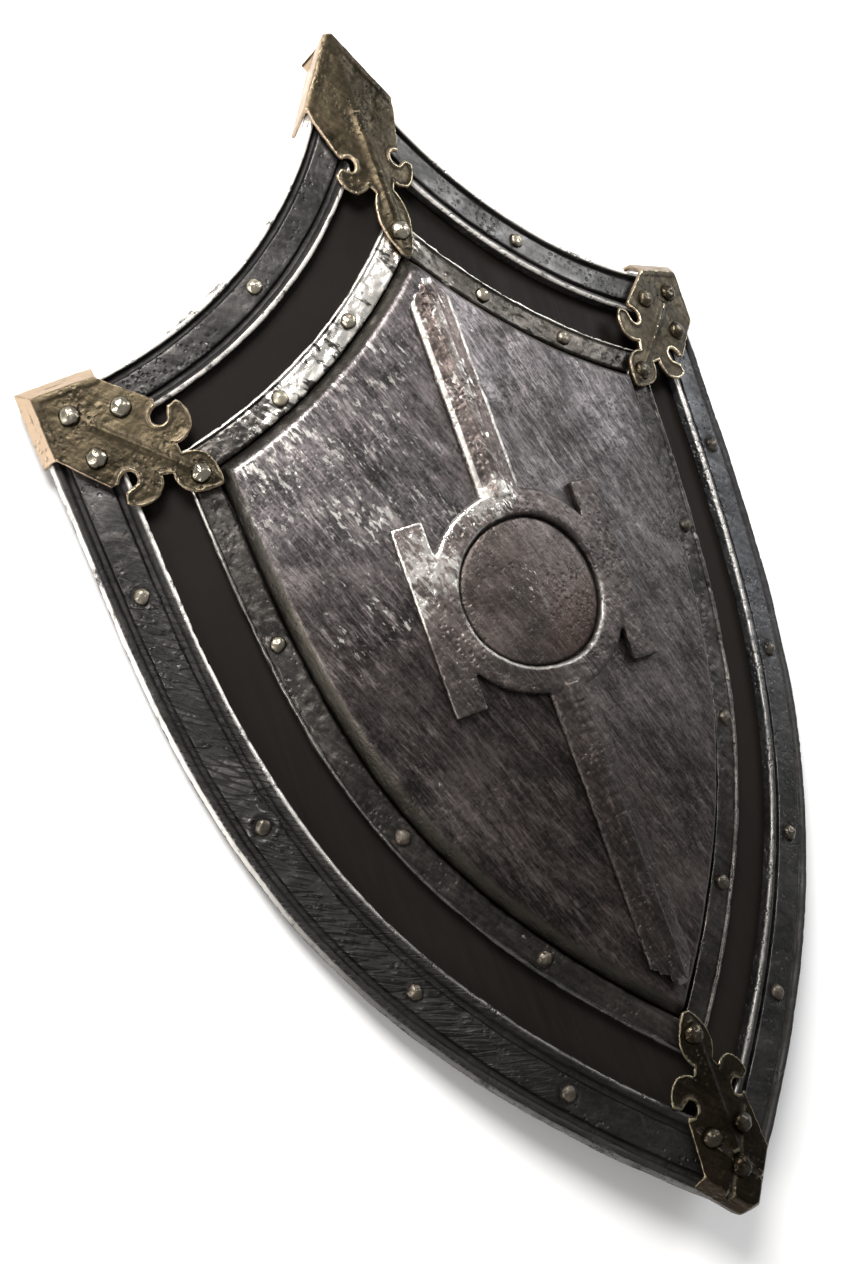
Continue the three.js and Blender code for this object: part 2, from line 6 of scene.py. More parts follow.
import bmesh
import bpy
import numpy as np
from mathutils import Matrix, Vector


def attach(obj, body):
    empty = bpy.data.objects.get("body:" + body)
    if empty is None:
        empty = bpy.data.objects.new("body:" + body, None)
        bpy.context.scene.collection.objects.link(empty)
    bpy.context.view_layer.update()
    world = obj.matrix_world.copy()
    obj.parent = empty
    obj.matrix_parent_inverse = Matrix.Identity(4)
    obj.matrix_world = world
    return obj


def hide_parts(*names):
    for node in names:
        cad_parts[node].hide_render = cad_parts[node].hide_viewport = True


bl_info = {
    "name": "Heater Shield",
    "version": (1, 0, 0),
    "blender": (4, 5, 0),
    "location": "3D View > Sidebar > Shield",
    "description": "Builds the worn iron and brass pieces of a heater shield",
    "category": "Object",
}

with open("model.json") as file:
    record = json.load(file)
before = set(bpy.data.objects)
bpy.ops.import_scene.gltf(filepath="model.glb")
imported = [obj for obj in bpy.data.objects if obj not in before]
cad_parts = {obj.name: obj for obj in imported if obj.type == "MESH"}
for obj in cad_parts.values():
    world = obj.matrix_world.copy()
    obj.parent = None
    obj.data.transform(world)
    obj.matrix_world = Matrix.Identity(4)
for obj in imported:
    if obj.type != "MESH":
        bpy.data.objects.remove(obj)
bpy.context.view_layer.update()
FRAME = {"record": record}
MM = 0.001

# Outline of the face on the flat sheet, in millimetres from the centre of the ring.
PEAK = np.array([0.0, 370.0])
CORNER = np.array([236.0, 187.0])
TIP = np.array([0.0, -370.0])
TOP_SAGITTA = 48.6
SIDE_HANDLES = np.array([[221.0, -42.0], [233.0, -170.0]])

# The bend over the keel, and the flat strip on the back that the record's mount lies on.
KEEL_ANGLE = 0.136
BEND_RADIUS = 1250.0
BACK_STRIP = -13.55

# Distances inwards from the outline.
OUTER_BAND = 36.6
OUTER_BAND_TOP = 32.4
CHANNEL = 28.8
INNER_BAND = 17.4
INNER_START = OUTER_BAND + CHANNEL
PLATE_START = INNER_START + INNER_BAND + 0.8
PLATE_BEVEL = 8.4
PEAK_TRIM = 14.0
TIP_TRIM = 12.0

# Heights out of the face.
BOARD_FRONT = -3.0
BOARD_BACK = -9.0
BAND_UNDER = -2.7
RIM_BOTTOM = -9.5
OUTER_FACE = 2.0
INNER_FACE = 3.6
PLATE_FACE = 10.5
CROSS_BOTTOM = 10.7
RING_INNER, RING_OUTER, RING_FACE = 44.5, 61.0, 16.0
STRAP_HALF, STRAP_RIDGE = 12.5, 17.6
STRAP_START = 57.0
STRAP_ENDS = (195.0, -239.0)
BAR_INNER, BAR_OUTER, BAR_HALF_LENGTH = 50.5, 70.0, 56.5
BOSS_RADIUS, BOSS_EDGE, BOSS_TOP = 43.9, 12.2, 14.6
CAP_BOTTOM, CAP_FACE = 5.1, 8.6
CAP_WALL = 2.6


# ---- the sheet and its bend ------------------------------------------------------------------

_mount = FRAME["record"]["mounts"][0]
TILT = math.atan2(_mount["axis"][1], -_mount["axis"][2])
TURN = np.array(Matrix.Rotation(TILT, 3, "X"))
OFFSET = np.array(_mount["pos_m"]) - TURN @ np.array([0.0, 0.0, BACK_STRIP * MM])


def bend(points):
    """Wraps points (across, along, out), in millimetres on the flat sheet, into the row frame."""
    s, v, h = points[:, 0], points[:, 1], points[:, 2]
    turn = KEEL_ANGLE + np.abs(s) / BEND_RADIUS
    across = BEND_RADIUS * (np.sin(turn) - math.sin(KEEL_ANGLE)) + h * np.sin(turn)
    out = h * np.cos(turn) - BEND_RADIUS * (math.cos(KEEL_ANGLE) - np.cos(turn))
    on_keel = np.abs(s) < 1e-4
    across = np.where(on_keel, 0.0, np.sign(s) * across)
    out = np.where(on_keel, h / math.cos(KEEL_ANGLE), out)
    return np.stack([across, v, out], 1) * MM @ TURN.T + OFFSET


def side_point(t, d):
    """Point on the right side of the outline at share t, moved in by d."""
    t, d = np.broadcast_arrays(np.asarray(t, float), np.asarray(d, float))
    a, b, c, e = CORNER, SIDE_HANDLES[0], SIDE_HANDLES[1], TIP
    t, u = t[..., None], 1 - t[..., None]
    point = u**3 * a + 3 * u**2 * t * b + 3 * u * t**2 * c + t**3 * e
    run = 3 * u**2 * (b - a) + 6 * u * t * (c - b) + 3 * t**2 * (e - c)
    run /= np.linalg.norm(run, axis=-1, keepdims=True)
    return point + np.stack([run[..., 1], -run[..., 0]], -1) * d[..., None]


CHORD = CORNER - PEAK
ARC_RADIUS = (CHORD @ CHORD / 4 + TOP_SAGITTA**2) / (2 * TOP_SAGITTA)
ARC_CENTRE = (PEAK + CORNER) / 2 + np.array([-CHORD[1], CHORD[0]]) / np.linalg.norm(
    CHORD
) * (ARC_RADIUS - TOP_SAGITTA)


def top_offset(d):
    """The band along the top is a little narrower than the one along the sides."""
    narrow = d * OUTER_BAND_TOP / OUTER_BAND
    return np.where(d < OUTER_BAND, narrow, d - OUTER_BAND + OUTER_BAND_TOP)


def top_height(s, d):
    return ARC_CENTRE[1] - np.sqrt((ARC_RADIUS + top_offset(d)) ** 2 - (s - ARC_CENTRE[0]) ** 2)


def crossing(fall, low, high, shape):
    """Where the falling function crosses zero, for a whole array at once."""
    a, b = np.full(shape, float(low)), np.full(shape, float(high))
    for _ in range(40):
        middle = (a + b) / 2
        above = fall(middle) > 0
        a, b = np.where(above, middle, a), np.where(above, b, middle)
    return (a + b) / 2


def corner_share(d):
    def fall(t):
        point = side_point(t, d)
        return point[..., 1] - top_height(point[..., 0], d)

    return crossing(fall, -0.02, 0.6, np.shape(d))


def tip_share(d, s=0.0):
    return crossing(lambda t: side_point(t, d)[..., 0] - s, 0.3, 1.02, np.shape(d))


# ---- noise and mesh helpers ------------------------------------------------------------------


def lattice(x, y, z, seed):
    h = (x * 374761393 + y * 668265263 + z * 1442695041 + seed * 362437) & 0xFFFFFFFF
    h = ((h ^ (h >> 13)) * 1274126177) & 0xFFFFFFFF
    return ((h ^ (h >> 16)) & 0xFFFF) / 32767.5 - 1


def grain(points, size, octaves=3, seed=0):
    """Smooth noise from about -1 to 1, its largest lumps about size millimetres apart."""
    total, weight, amount = 0.0, 1.0, 0.0
    for octave in range(octaves):
        q = points / size * 2**octave + 31.7 * octave
        cell = np.floor(q).astype(np.int64)
        f = q - cell
        f = f * f * (3 - 2 * f)
        value = 0.0
        for corner in range(8):
            o = np.array([corner & 1, corner >> 1 & 1, corner >> 2 & 1])
            share = np.prod(np.where(o, f, 1 - f), 1)
            value = value + share * lattice(*(cell + o).T, seed + octave)
        total = total + weight * value
        amount += weight
        weight *= 0.55
    return total / amount * 1.6


def ease(low, high, x):
    k = np.clip((x - low) / (high - low), 0, 1)
    return k * k * (3 - 2 * k)


def hump(x, at, width):
    """1 where x is at, falling away smoothly on both sides."""
    return np.exp(-(((x - at) / width) ** 2))


def coordinates(mesh):
    co = np.empty(len(mesh.vertices) * 3)
    mesh.vertices.foreach_get("co", co)
    return co.reshape(-1, 3)


def vertex_normals(mesh):
    normals = np.empty(len(mesh.vertices) * 3)
    mesh.vertex_normals.foreach_get("vector", normals)
    return normals.reshape(-1, 3)


def edge_pairs(mesh):
    pairs = np.empty(len(mesh.edges) * 2, np.int64)
    mesh.edges.foreach_get("vertices", pairs)
    return pairs.reshape(-1, 2)


def neighbour_mean(values, pairs, count):
    a, b = pairs.T
    shape = (count,) + values.shape[1:]
    total, degree = np.zeros(shape), np.bincount(pairs.ravel(), minlength=count)
    np.add.at(total, a, values[b])
    np.add.at(total, b, values[a])
    return total / np.maximum(degree, 1).reshape((-1,) + (1,) * (values.ndim - 1))


def roundness(mesh, passes):
    """How sharply the surface turns at each vertex, per millimetre: above 0 on outer edges."""
    co, normals, pairs = coordinates(mesh), vertex_normals(mesh), edge_pairs(mesh)
    length = np.linalg.norm(co[pairs[:, 0]] - co[pairs[:, 1]], axis=1)
    total = np.zeros(len(co))
    for column in pairs.T:
        total += np.bincount(column, length**2, len(co))
    degree = np.bincount(pairs.ravel(), minlength=len(co))
    square = total / np.maximum(degree, 1)
    lean = ((neighbour_mean(co, pairs, len(co)) - co) * normals).sum(1)
    turn = -2 * lean / np.maximum(square, 1e-6)
    for _ in range(passes):
        turn = 0.5 * turn + 0.5 * neighbour_mean(turn, pairs, len(co))
    return turn


def store(mesh, label, values):
    """Keeps a number or a vector for each vertex under a name."""
    kind, field = ("FLOAT", "value") if values.ndim == 1 else ("FLOAT_VECTOR", "vector")
    data = mesh.attributes.new(label, kind, "POINT").data
    data.foreach_set(field, values.astype(np.float32).ravel())


def new_mesh(points, faces, merge=True):
    mesh = bpy.data.meshes.new("shape")
    mesh.from_pydata(np.asarray(points).tolist(), [], [list(map(int, f)) for f in faces])
    work = bmesh.new()
    work.from_mesh(mesh)
    if merge:
        bmesh.ops.remove_doubles(work, verts=work.verts, dist=1e-3)
        bmesh.ops.dissolve_degenerate(work, edges=work.edges, dist=1e-4)
    bmesh.ops.recalc_face_normals(work, faces=work.faces)
    work.to_mesh(mesh)
    work.free()
    return mesh


def grid_faces(rows, columns, start=0, wrap=False):
    """Quads between rows of points; wrap also joins the last row to the first."""
    i = np.arange(rows if wrap else rows - 1)[:, None]
    k = np.arange(columns - 1)[None, :]
    near, far = start + i * columns + k, start + (i + 1) % rows * columns + k
    return np.stack([near, far, far + 1, near + 1], -1).reshape(-1, 4).tolist()


def tube(rows):
    """A closed strip from an array of (section point, step, xyz)."""
    count, steps = rows.shape[:2]
    faces = grid_faces(count, steps, wrap=True)
    faces.append([i * steps for i in range(count)])
    faces.append([i * steps + steps - 1 for i in reversed(range(count))])
    return rows.reshape(-1, 3), faces


def joined(parts):
    points, faces, start = [], [], 0
    for part_points, part_faces in parts:
        points.append(part_points)
        faces += [[start + i for i in face] for face in part_faces]
        start += len(part_points)
    return np.concatenate(points), faces


def rounded(section, cut, step):
    """A closed section with its corners cut round and its long sides divided."""
    section = np.asarray(section, float)
    soft = []
    for i, p in enumerate(section):
        before, after = section[i - 1] - p, section[(i + 1) % len(section)] - p
        a = p + before * min(cut / np.linalg.norm(before), 0.45)
        b = p + after * min(cut / np.linalg.norm(after), 0.45)
        soft += [(1 - t) ** 2 * a + 2 * t * (1 - t) * p + t * t * b for t in (0, 0.3, 0.7, 1)]
    result = []
    for i, p in enumerate(soft):
        q = soft[(i + 1) % len(soft)]
        parts = max(1, math.ceil(np.linalg.norm(q - p) / step))
        result += [p + (q - p) * k / parts for k in range(parts)]
    return np.array(result)


def remeshed(parts, voxel, melt):
    """One even skin round several overlapping closed shapes, its edges melted a little."""
    holder = bpy.data.objects.new("shells", new_mesh(*joined(parts), merge=False))
    bpy.context.scene.collection.objects.link(holder)
    skin = holder.modifiers.new("skin", "REMESH")
    skin.mode, skin.voxel_size, skin.adaptivity = "VOXEL", voxel, 0.0
    graph = bpy.context.evaluated_depsgraph_get()
    result = bpy.data.meshes.new_from_object(holder.evaluated_get(graph), depsgraph=graph)
    bpy.data.objects.remove(holder)
    co, pairs = coordinates(result), edge_pairs(result)
    for _ in range(melt):
        co += 0.5 * (neighbour_mean(co, pairs, len(co)) - co)
    result.vertices.foreach_set("co", co.ravel())
    result.update()
    return result


def finish_piece(mesh, name, nodes, material, wear, relief=None, lay=None, lip=None):
    """Wears and bends a flat piece, and stands it for its CAD nodes.

    wear holds (softening passes, sharpness of a fully worn edge per millimetre, chip depth,
    chip size). relief(points, worn) gives more depth in millimetres along the normal. lay holds
    the pattern's own (along, across) places. lip is 1 on rolled edges that are worn bright by
    rubbing and also painted with a highlight, and below 0 in grooves, which are painted dark as
    shade.
    """
    co, normals = coordinates(mesh), vertex_normals(mesh)
    passes, sharp, depth, size = wear
    turn = roundness(mesh, passes)
    worn, deep = ease(0.02, sharp, turn), ease(0.02, sharp, -turn)
    chips = ease(0.1, 0.5, grain(co, size, 3, 7)) * worn * depth
    shift = -chips
    if relief is not None:
        shift = shift + relief(co, worn)
    co = co + normals * shift[:, None]
    flat = co if lay is None else lay
    mesh.vertices.foreach_set("co", bend(co).ravel())
    mesh.update()
    corner = np.empty(len(mesh.loops), np.int64)
    mesh.loops.foreach_get("vertex_index", corner)
    while mesh.uv_layers:
        mesh.uv_layers.remove(mesh.uv_layers[0])
    uv = mesh.uv_layers.new(name="lay")
    uv.data.foreach_set("uv", (flat[corner, :2] * MM).astype(np.float32).ravel())
    # Steep faces: the materials paint them with a wall colour, a painted shade on the plate and
    # cross and a painted highlight on the caps.
    wall = 1 - ease(0.7, 0.95, normals[:, 2])
    lip = wall * 0 if lip is None else lip
    store(mesh, "worn", worn)
    # deep holds concave creases, and the grooves and rivet rings marked below 0 in lip; the
    # materials darken them as painted shade.
    store(mesh, "deep", np.maximum(deep, -lip))
    store(mesh, "wall", wall)
    store(mesh, "lip", np.maximum(lip, 0))
    return add_piece(mesh, name, nodes, material)


def add_piece(mesh, name, nodes, material):
    mesh.name = name
    mesh.materials.clear()
    mesh.materials.append(material)
    mesh.polygons.foreach_set("use_smooth", [True] * len(mesh.polygons))
    piece = bpy.data.objects.new(name, mesh)
    bpy.context.scene.collection.objects.link(piece)
    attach(piece, "root")
    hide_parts(*nodes)
    return piece


# ---- shader helpers --------------------------------------------------------------------------


class Nodes:
    """Short calls for building a node tree."""

    def __init__(self, tree):
        self.tree = tree

    def put(self, kind, settings=None, **sockets):
        node = self.tree.nodes.new(kind)
        for key, value in (settings or {}).items():
            setattr(node, key, value)
        for key, value in sockets.items():
            self.feed(node.inputs[key.replace("_", " ")], value)
        return node

    def feed(self, socket, value):
        if isinstance(value, bpy.types.NodeSocket):
            self.tree.links.new(value, socket)
        elif isinstance(value, (tuple, list)) and socket.type == "RGBA" and len(value) == 3:
            socket.default_value = (*value, 1.0)
        else:
            socket.default_value = value

    def math(self, operation, a, b=0.0, clamp=False):
        node = self.put("ShaderNodeMath", {"operation": operation, "use_clamp": clamp})
        self.feed(node.inputs[0], a)
        self.feed(node.inputs[1], b)
        return node.outputs[0]

    def plus(self, a, b, clamp=False):
        return self.math("ADD", a, b, clamp)

    def minus(self, a, b, clamp=False):
        return self.math("SUBTRACT", a, b, clamp)

    def times(self, a, b, clamp=False):
        return self.math("MULTIPLY", a, b, clamp)

    def largest(self, a, b, clamp=False):
        return self.math("MAXIMUM", a, b, clamp)

    def span(self, value, low, high, start=0.0, end=1.0):
        node = self.put("ShaderNodeMapRange", {"interpolation_type": "SMOOTHSTEP"})
        for i, item in enumerate((value, low, high, start, end)):
            self.feed(node.inputs[i], item)
        return node.outputs[0]

    def mix(self, share, a, b, blend="MIX"):
        node = self.put("ShaderNodeMix", {"data_type": "RGBA", "blend_type": blend})
        self.feed(node.inputs[0], share)
        self.feed(node.inputs[6], a)
        self.feed(node.inputs[7], b)
        return node.outputs[2]

    def scaled(self, vector, x, y, z):
        node = self.put("ShaderNodeVectorMath", {"operation": "MULTIPLY"})
        self.feed(node.inputs[0], vector)
        if any(isinstance(item, bpy.types.NodeSocket) for item in (x, y, z)):
            self.feed(node.inputs[1], self.put("ShaderNodeCombineXYZ", X=x, Y=y, Z=z).outputs[0])
        else:
            node.inputs[1].default_value = (x, y, z)
        return node.outputs[0]

    def noise(self, vector, scale, detail=4.0, roughness=0.55, distortion=0.0):
        node = self.put("ShaderNodeTexNoise", None, Vector=vector, Scale=scale, Detail=detail)
        self.feed(node.inputs["Roughness"], roughness)
        self.feed(node.inputs["Distortion"], distortion)
        return node.outputs[0]

    def attribute(self, name):
        return self.put("ShaderNodeAttribute", {"attribute_name": name}).outputs["Fac"]


def new_group(name, inputs, outputs):
    """An empty shader group with named sockets, and its helper, inputs and output node."""
    tree = bpy.data.node_groups.new(name, "ShaderNodeTree")
    for label, kind, value in inputs:
        socket = tree.interface.new_socket(name=label, in_out="INPUT", socket_type=kind)
        if value is not None:
            socket.default_value = value
    for label, kind in outputs:
        tree.interface.new_socket(name=label, in_out="OUTPUT", socket_type=kind)
    nodes = Nodes(tree)
    return tree, nodes, nodes.put("NodeGroupInput").outputs, nodes.put("NodeGroupOutput").inputs


FLOAT, VECTOR, COLOR = "NodeSocketFloat", "NodeSocketVector", "NodeSocketColor"


def strokes_group():
    """Long brushed strokes across the metal at one angle."""
    tree, n, given, result = new_group(
        "brushed strokes",
        [("Vector", VECTOR, None), ("Angle", FLOAT, 0.0), ("Scale", FLOAT, 60.0),
         ("Stretch", FLOAT, 0.12), ("Low", FLOAT, 0.5), ("High", FLOAT, 0.75)],
        [("Mask", FLOAT), ("Height", FLOAT)],
    )
    turn = n.put("ShaderNodeVectorRotate", {"rotation_type": "Z_AXIS"},
                 Vector=given["Vector"], Angle=given["Angle"])
    stretched = n.scaled(turn.outputs[0], n.times(given["Scale"], given["Stretch"]),
                         given["Scale"], given["Scale"])
    coarse = n.noise(stretched, 1.0, 5.0, 0.65, 0.4)
    fine = n.noise(stretched, 3.7, 3.0, 0.6, 0.2)
    both = n.plus(n.times(coarse, 0.6), n.times(fine, 0.4))
    n.feed(result["Mask"], n.span(both, given["Low"], given["High"]))
    n.feed(result["Height"], both)
    return tree


def flecks_group():
    """Short bright flecks gathered in patches and drawn out along one angle."""
    tree, n, given, result = new_group(
        "flecks",
        [("Vector", VECTOR, None), ("Angle", FLOAT, 0.0), ("Scale", FLOAT, 300.0),
         ("Patch", FLOAT, 18.0), ("Amount", FLOAT, 0.5)],
        [("Mask", FLOAT)],
    )
    turn = n.put("ShaderNodeVectorRotate", {"rotation_type": "Z_AXIS"},
                 Vector=given["Vector"], Angle=given["Angle"])
    drawn = n.scaled(turn.outputs[0], 0.42, 1.0, 1.0)
    small = n.noise(drawn, given["Scale"], 3.0, 0.6, 0.3)
    patch = n.noise(given["Vector"], given["Patch"], 3.0, 0.6, 0.3)
    lift = n.plus(n.times(patch, 0.5), n.times(given["Amount"], 0.3))
    n.feed(result["Mask"], n.span(n.plus(small, lift), 1.08, 1.2))
    return tree


def edge_group():
    """Wear that follows outer edges and breaks up along them."""
    tree, n, given, result = new_group(
        "edge wear",
        [("Worn", FLOAT, 0.0), ("Vector", VECTOR, None), ("Scale", FLOAT, 90.0),
         ("Amount", FLOAT, 0.5)],
        [("Mask", FLOAT)],
    )
    broken = n.noise(given["Vector"], given["Scale"], 6.0, 0.65, 0.5)
    lift = n.plus(broken, n.times(given["Amount"], 0.5))
    n.feed(result["Mask"], n.span(n.times(given["Worn"], lift), 0.3, 0.52))
    return tree


def pits_group():
    """Shallow pits and forge dimples, as a height."""
    tree, n, given, result = new_group(
        "pitting",
        [("Vector", VECTOR, None), ("Scale", FLOAT, 260.0), ("Patch", FLOAT, 30.0)],
        [("Height", FLOAT), ("Mask", FLOAT)],
    )
    cells = n.put("ShaderNodeTexVoronoi", {"feature": "SMOOTH_F1"},
                  Vector=given["Vector"], Scale=given["Scale"], Randomness=1.0)
    where = n.span(n.noise(given["Vector"], given["Patch"], 4.0, 0.6), 0.45, 0.65)
    dent = n.span(cells.outputs["Distance"], 0.05, 0.42)
    height = n.math("MULTIPLY_ADD", n.minus(dent, 1.0), where)
    n.feed(height.node.inputs[2], 1.0)
    n.feed(result["Height"], height)
    n.feed(result["Mask"], n.times(n.minus(1.0, dent), where))
    return tree


def use_group(nodes, tree, **sockets):
    node = nodes.put("ShaderNodeGroup", {"node_tree": tree})
    for key, value in sockets.items():
        nodes.feed(node.inputs[key], value)
    return node.outputs


GROUPS = {}


def shared_groups():
    makers = {"strokes": strokes_group, "flecks": flecks_group, "edges": edge_group,
              "pits": pits_group}
    for name, maker in makers.items():
        if name not in GROUPS:
            GROUPS[name] = maker()
    return GROUPS


def new_material(name):
    material = bpy.data.materials.new(name)
    material.use_nodes = True
    material.node_tree.nodes.clear()
    nodes = Nodes(material.node_tree)
    shader = nodes.put("ShaderNodeBsdfPrincipled")
    output = nodes.put("ShaderNodeOutputMaterial")
    nodes.feed(output.inputs["Surface"], shader.outputs[0])
    return material, nodes, shader


# Scales of what every metal shares, per metre, and the depth of its relief in metres.
GRAIN_SCALE = 420.0
LUMP_SCALE = 90.0
EDGE_SCALE = 120.0
PIT_PATCH = 35.0
RELIEF_DEPTH = 0.0012

# Region borders: the scale of their unevenness and how far they wander, in metres.
BORDER_SCALE, BORDER_WANDER = 14.0, 0.2

# Cracks: how far they are drawn out across the band, their scale, how far they bend, and the
# distances from a crack's middle where it has faded and where it is full.
CRACK_DRAW, CRACK_SCALE = 0.36, 200.0
CRACK_BEND, CRACK_BEND_SCALE = 0.0035, 220.0
CRACK_FADED, CRACK_FULL = 0.19, 0.05


def region(n, place, x, y, radius, strength):
    """A soft patch of the face about a point, its border made uneven."""
    shift = n.put("ShaderNodeVectorMath", {"operation": "SUBTRACT"})
    n.feed(shift.inputs[0], place)
    shift.inputs[1].default_value = (x, y, 0.0)
    reach = n.put("ShaderNodeVectorMath", {"operation": "LENGTH"})
    n.feed(reach.inputs[0], n.scaled(shift.outputs[0], 1.0, 1.0, 0.0))
    wander = n.times(n.minus(n.noise(place, BORDER_SCALE, 5.0, 0.65), 0.5), BORDER_WANDER)
    inside = n.span(n.plus(reach.outputs["Value"], wander), radius, radius * 0.25)
    return n.times(inside, strength)


def places_sum(n, place, spread):
    """A base strength, made stronger in soft patches: (base, [(x, y, radius, strength)])."""
    base, spots = spread
    total = n.plus(base, 0.0)
    for spot in spots:
        total = n.plus(total, region(n, place, *spot))
    return total


def crack_lines(n):
    """Fine cracks, each of them a line from 0 at its sides to 1."""
    lay = n.put("ShaderNodeUVMap", {"uv_map": "lay"}).outputs[0]
    lines = n.scaled(lay, 1.0, CRACK_DRAW, 1.0)
    wander = n.put("ShaderNodeTexNoise", None, Vector=lines, Scale=CRACK_BEND_SCALE, Detail=3.0)
    bent = n.put("ShaderNodeVectorMath", {"operation": "MULTIPLY_ADD"})
    n.feed(bent.inputs[0], wander.outputs["Color"])
    bent.inputs[1].default_value = (CRACK_BEND, CRACK_BEND, 0.0)
    n.feed(bent.inputs[2], lines)
    cells = n.put("ShaderNodeTexVoronoi", {"feature": "DISTANCE_TO_EDGE"},
                  Vector=bent.outputs[0], Scale=CRACK_SCALE, Randomness=1.0)
    return n.span(cells.outputs["Distance"], CRACK_FADED, CRACK_FULL)


def metal_material(name, look):
    """Worn metal: streaked tones, strokes worn by rubbing, flecks, bright edges, grime and
    pitting.
    Part of it is painted light and shade: lighter and darker patches, painted highlights on edges,
    rims and strokes, painted shade in grooves and creases, and steep walls painted dark as shade
    or, on the caps, light as highlight.
    """
    groups = shared_groups()
    material, n, shader = new_material(name)
    place = n.put("ShaderNodeTexCoord").outputs["Object"]
    deep, wall = n.attribute("deep"), n.attribute("wall")
    lip, worn = n.attribute("lip"), n.attribute("worn")
    # Steep walls, as strong as the look asks, take a colour of their own and lose their edge wear:
    # painted shade on the plate and the cross, painted highlight on the sides of the caps.
    wall = n.times(wall, places_sum(n, place, look.get("wall", (0.0, ()))), clamp=True)
    worn = n.times(worn, n.minus(1.0, wall))
    angle, scale = look.get("angle", 0.0), look.get("stroke scale", 70.0)
    stretch = look.get("stretch", 0.1)

    strokes = use_group(n, groups["strokes"], Vector=place, Angle=angle, Scale=scale,
                        Stretch=stretch, Low=look.get("stroke low", 0.52), High=0.72)
    cross = use_group(n, groups["strokes"], Vector=place, Angle=look.get("cross angle", 1.2),
                      Scale=scale * 1.7, Stretch=stretch * 1.6, Low=0.56, High=0.7)
    pits = use_group(n, groups["pits"], Vector=place, Scale=look.get("pit scale", 330.0),
                     Patch=PIT_PATCH)
    mottle = n.noise(place, look.get("mottle", 16.0), 5.0, 0.6, 0.3)
    fine = n.noise(place, GRAIN_SCALE, 3.0, 0.7)
    shade = n.plus(n.times(strokes["Height"], 0.5), n.times(mottle, 0.3))
    shade = n.plus(shade, n.times(fine, 0.2))
    color = n.mix(n.span(shade, 0.4, 0.62), look["dark"], look["light"])
    # Lighter and darker patches about given points: partly the metal's own tone, partly painted
    # light and shade.
    for patch_factor, *spot in look.get("tones_and_painted_light", ()):
        patch_color = n.mix(1.0, color, patch_factor, "MULTIPLY")
        color = n.mix(region(n, place, *spot), color, patch_color)

    # Patches of wear and painted highlight: flecks, bright edges and lighter strokes grow stronger
    # there, mostly towards the top and upper left.
    wear_and_painted_highlight = places_sum(n, place, look["wear_and_painted_highlight"])
    flecks = use_group(n, groups["flecks"], Vector=place, Angle=angle,
                       Scale=look.get("fleck scale", 260.0), Patch=look.get("patch scale", 22.0),
                       Amount=n.times(wear_and_painted_highlight, look.get("flecks", 0.6)))
    edges = use_group(n, groups["edges"], Worn=worn, Vector=place, Scale=EDGE_SCALE,
                      Amount=n.times(wear_and_painted_highlight, look.get("edges", 1.0)))
    # Brushed strokes are drawn lighter where the highlight patches are strong: worn metal and a
    # painted sheen.
    rubbed_and_sheen = n.times(strokes["Mask"], n.times(wear_and_painted_highlight, look["strokes"]))
    crossed = n.times(cross["Mask"], n.times(wear_and_painted_highlight, look["cross"]))
    color = n.mix(n.largest(rubbed_and_sheen, crossed, clamp=True), color, look["rubbed_and_sheen"])

    # Edges are drawn whiter where those patches are strong: a painted highlight.
    glint = n.times(wear_and_painted_highlight, look.get("edge white", 0.6) * 1.6, clamp=True)
    shown = n.largest(n.times(flecks["Mask"], look.get("fleck white", 0.7)),
                      n.times(edges["Mask"], glint), clamp=True)
    # Rims are drawn bright where lip is high, broken up by noise: worn metal and a painted
    # highlight.
    bare_and_highlight = n.times(lip, places_sum(n, place, look.get("lip", (0.3, ()))), clamp=True)
    bare_and_highlight = n.times(bare_and_highlight, n.span(n.noise(place, 55.0, 5.0, 0.7), 0.3, 0.48))
    shown = n.largest(shown, bare_and_highlight)
    color = n.mix(shown, color, look["worn"])
    # Steep walls take the wall colour set above: painted shade on the plate and cross, painted
    # highlight on the caps.
    color = n.mix(wall, color, look.get("painted wall light and shade", look["grime_and_shade_color"]))

    # Pits and cracks are darkened as grime; concave creases, the grooves by the rims and the rings
    # round rivets are darkened as painted shade.
    hollow = n.largest(deep, n.times(pits["Mask"], 0.6))
    if "cracks" in look:
        lines, off_rim = crack_lines(n), n.span(lip, 0.4, 0.1)
        for spot in look["cracks"]:
            crack = n.times(lines, region(n, place, *spot))
            hollow = n.largest(hollow, n.times(crack, off_rim))
    dirt_and_shade = n.times(hollow, look.get("dirt_and_shade", 0.8), clamp=True)
    n.feed(shader.inputs["Base Color"], n.mix(dirt_and_shade, color, look["grime_and_shade_color"]))

    rough = n.span(n.noise(place, 45.0, 4.0, 0.6), 0.3, 0.7, *look["rough"])
    rough = n.minus(rough, n.times(shown, 0.12))
    n.feed(shader.inputs["Roughness"], n.plus(rough, n.times(dirt_and_shade, 0.25), clamp=True))
    dull = n.largest(n.times(dirt_and_shade, 0.5), n.times(bare_and_highlight, 0.55))
    n.feed(shader.inputs["Metallic"], n.minus(look.get("metal", 0.9), dull, clamp=True))

    height = n.plus(n.times(strokes["Height"], look.get("stroke depth", 0.5)),
                    n.times(pits["Height"], look.get("pit depth", 0.6)))
    height = n.plus(height, n.times(fine, look.get("grain depth", 0.2)))
    lumps = n.noise(place, LUMP_SCALE, 3.0, 0.5)
    height = n.plus(height, n.times(lumps, look.get("lump depth", 0.6)))
    if "cracks" in look:
        height = n.minus(height, n.times(hollow, 3.0))
    bump = n.put("ShaderNodeBump", None, Strength=look.get("bump", 0.5), Distance=RELIEF_DEPTH,
                 Height=height)
    n.feed(shader.inputs["Normal"], bump.outputs[0])
    return material


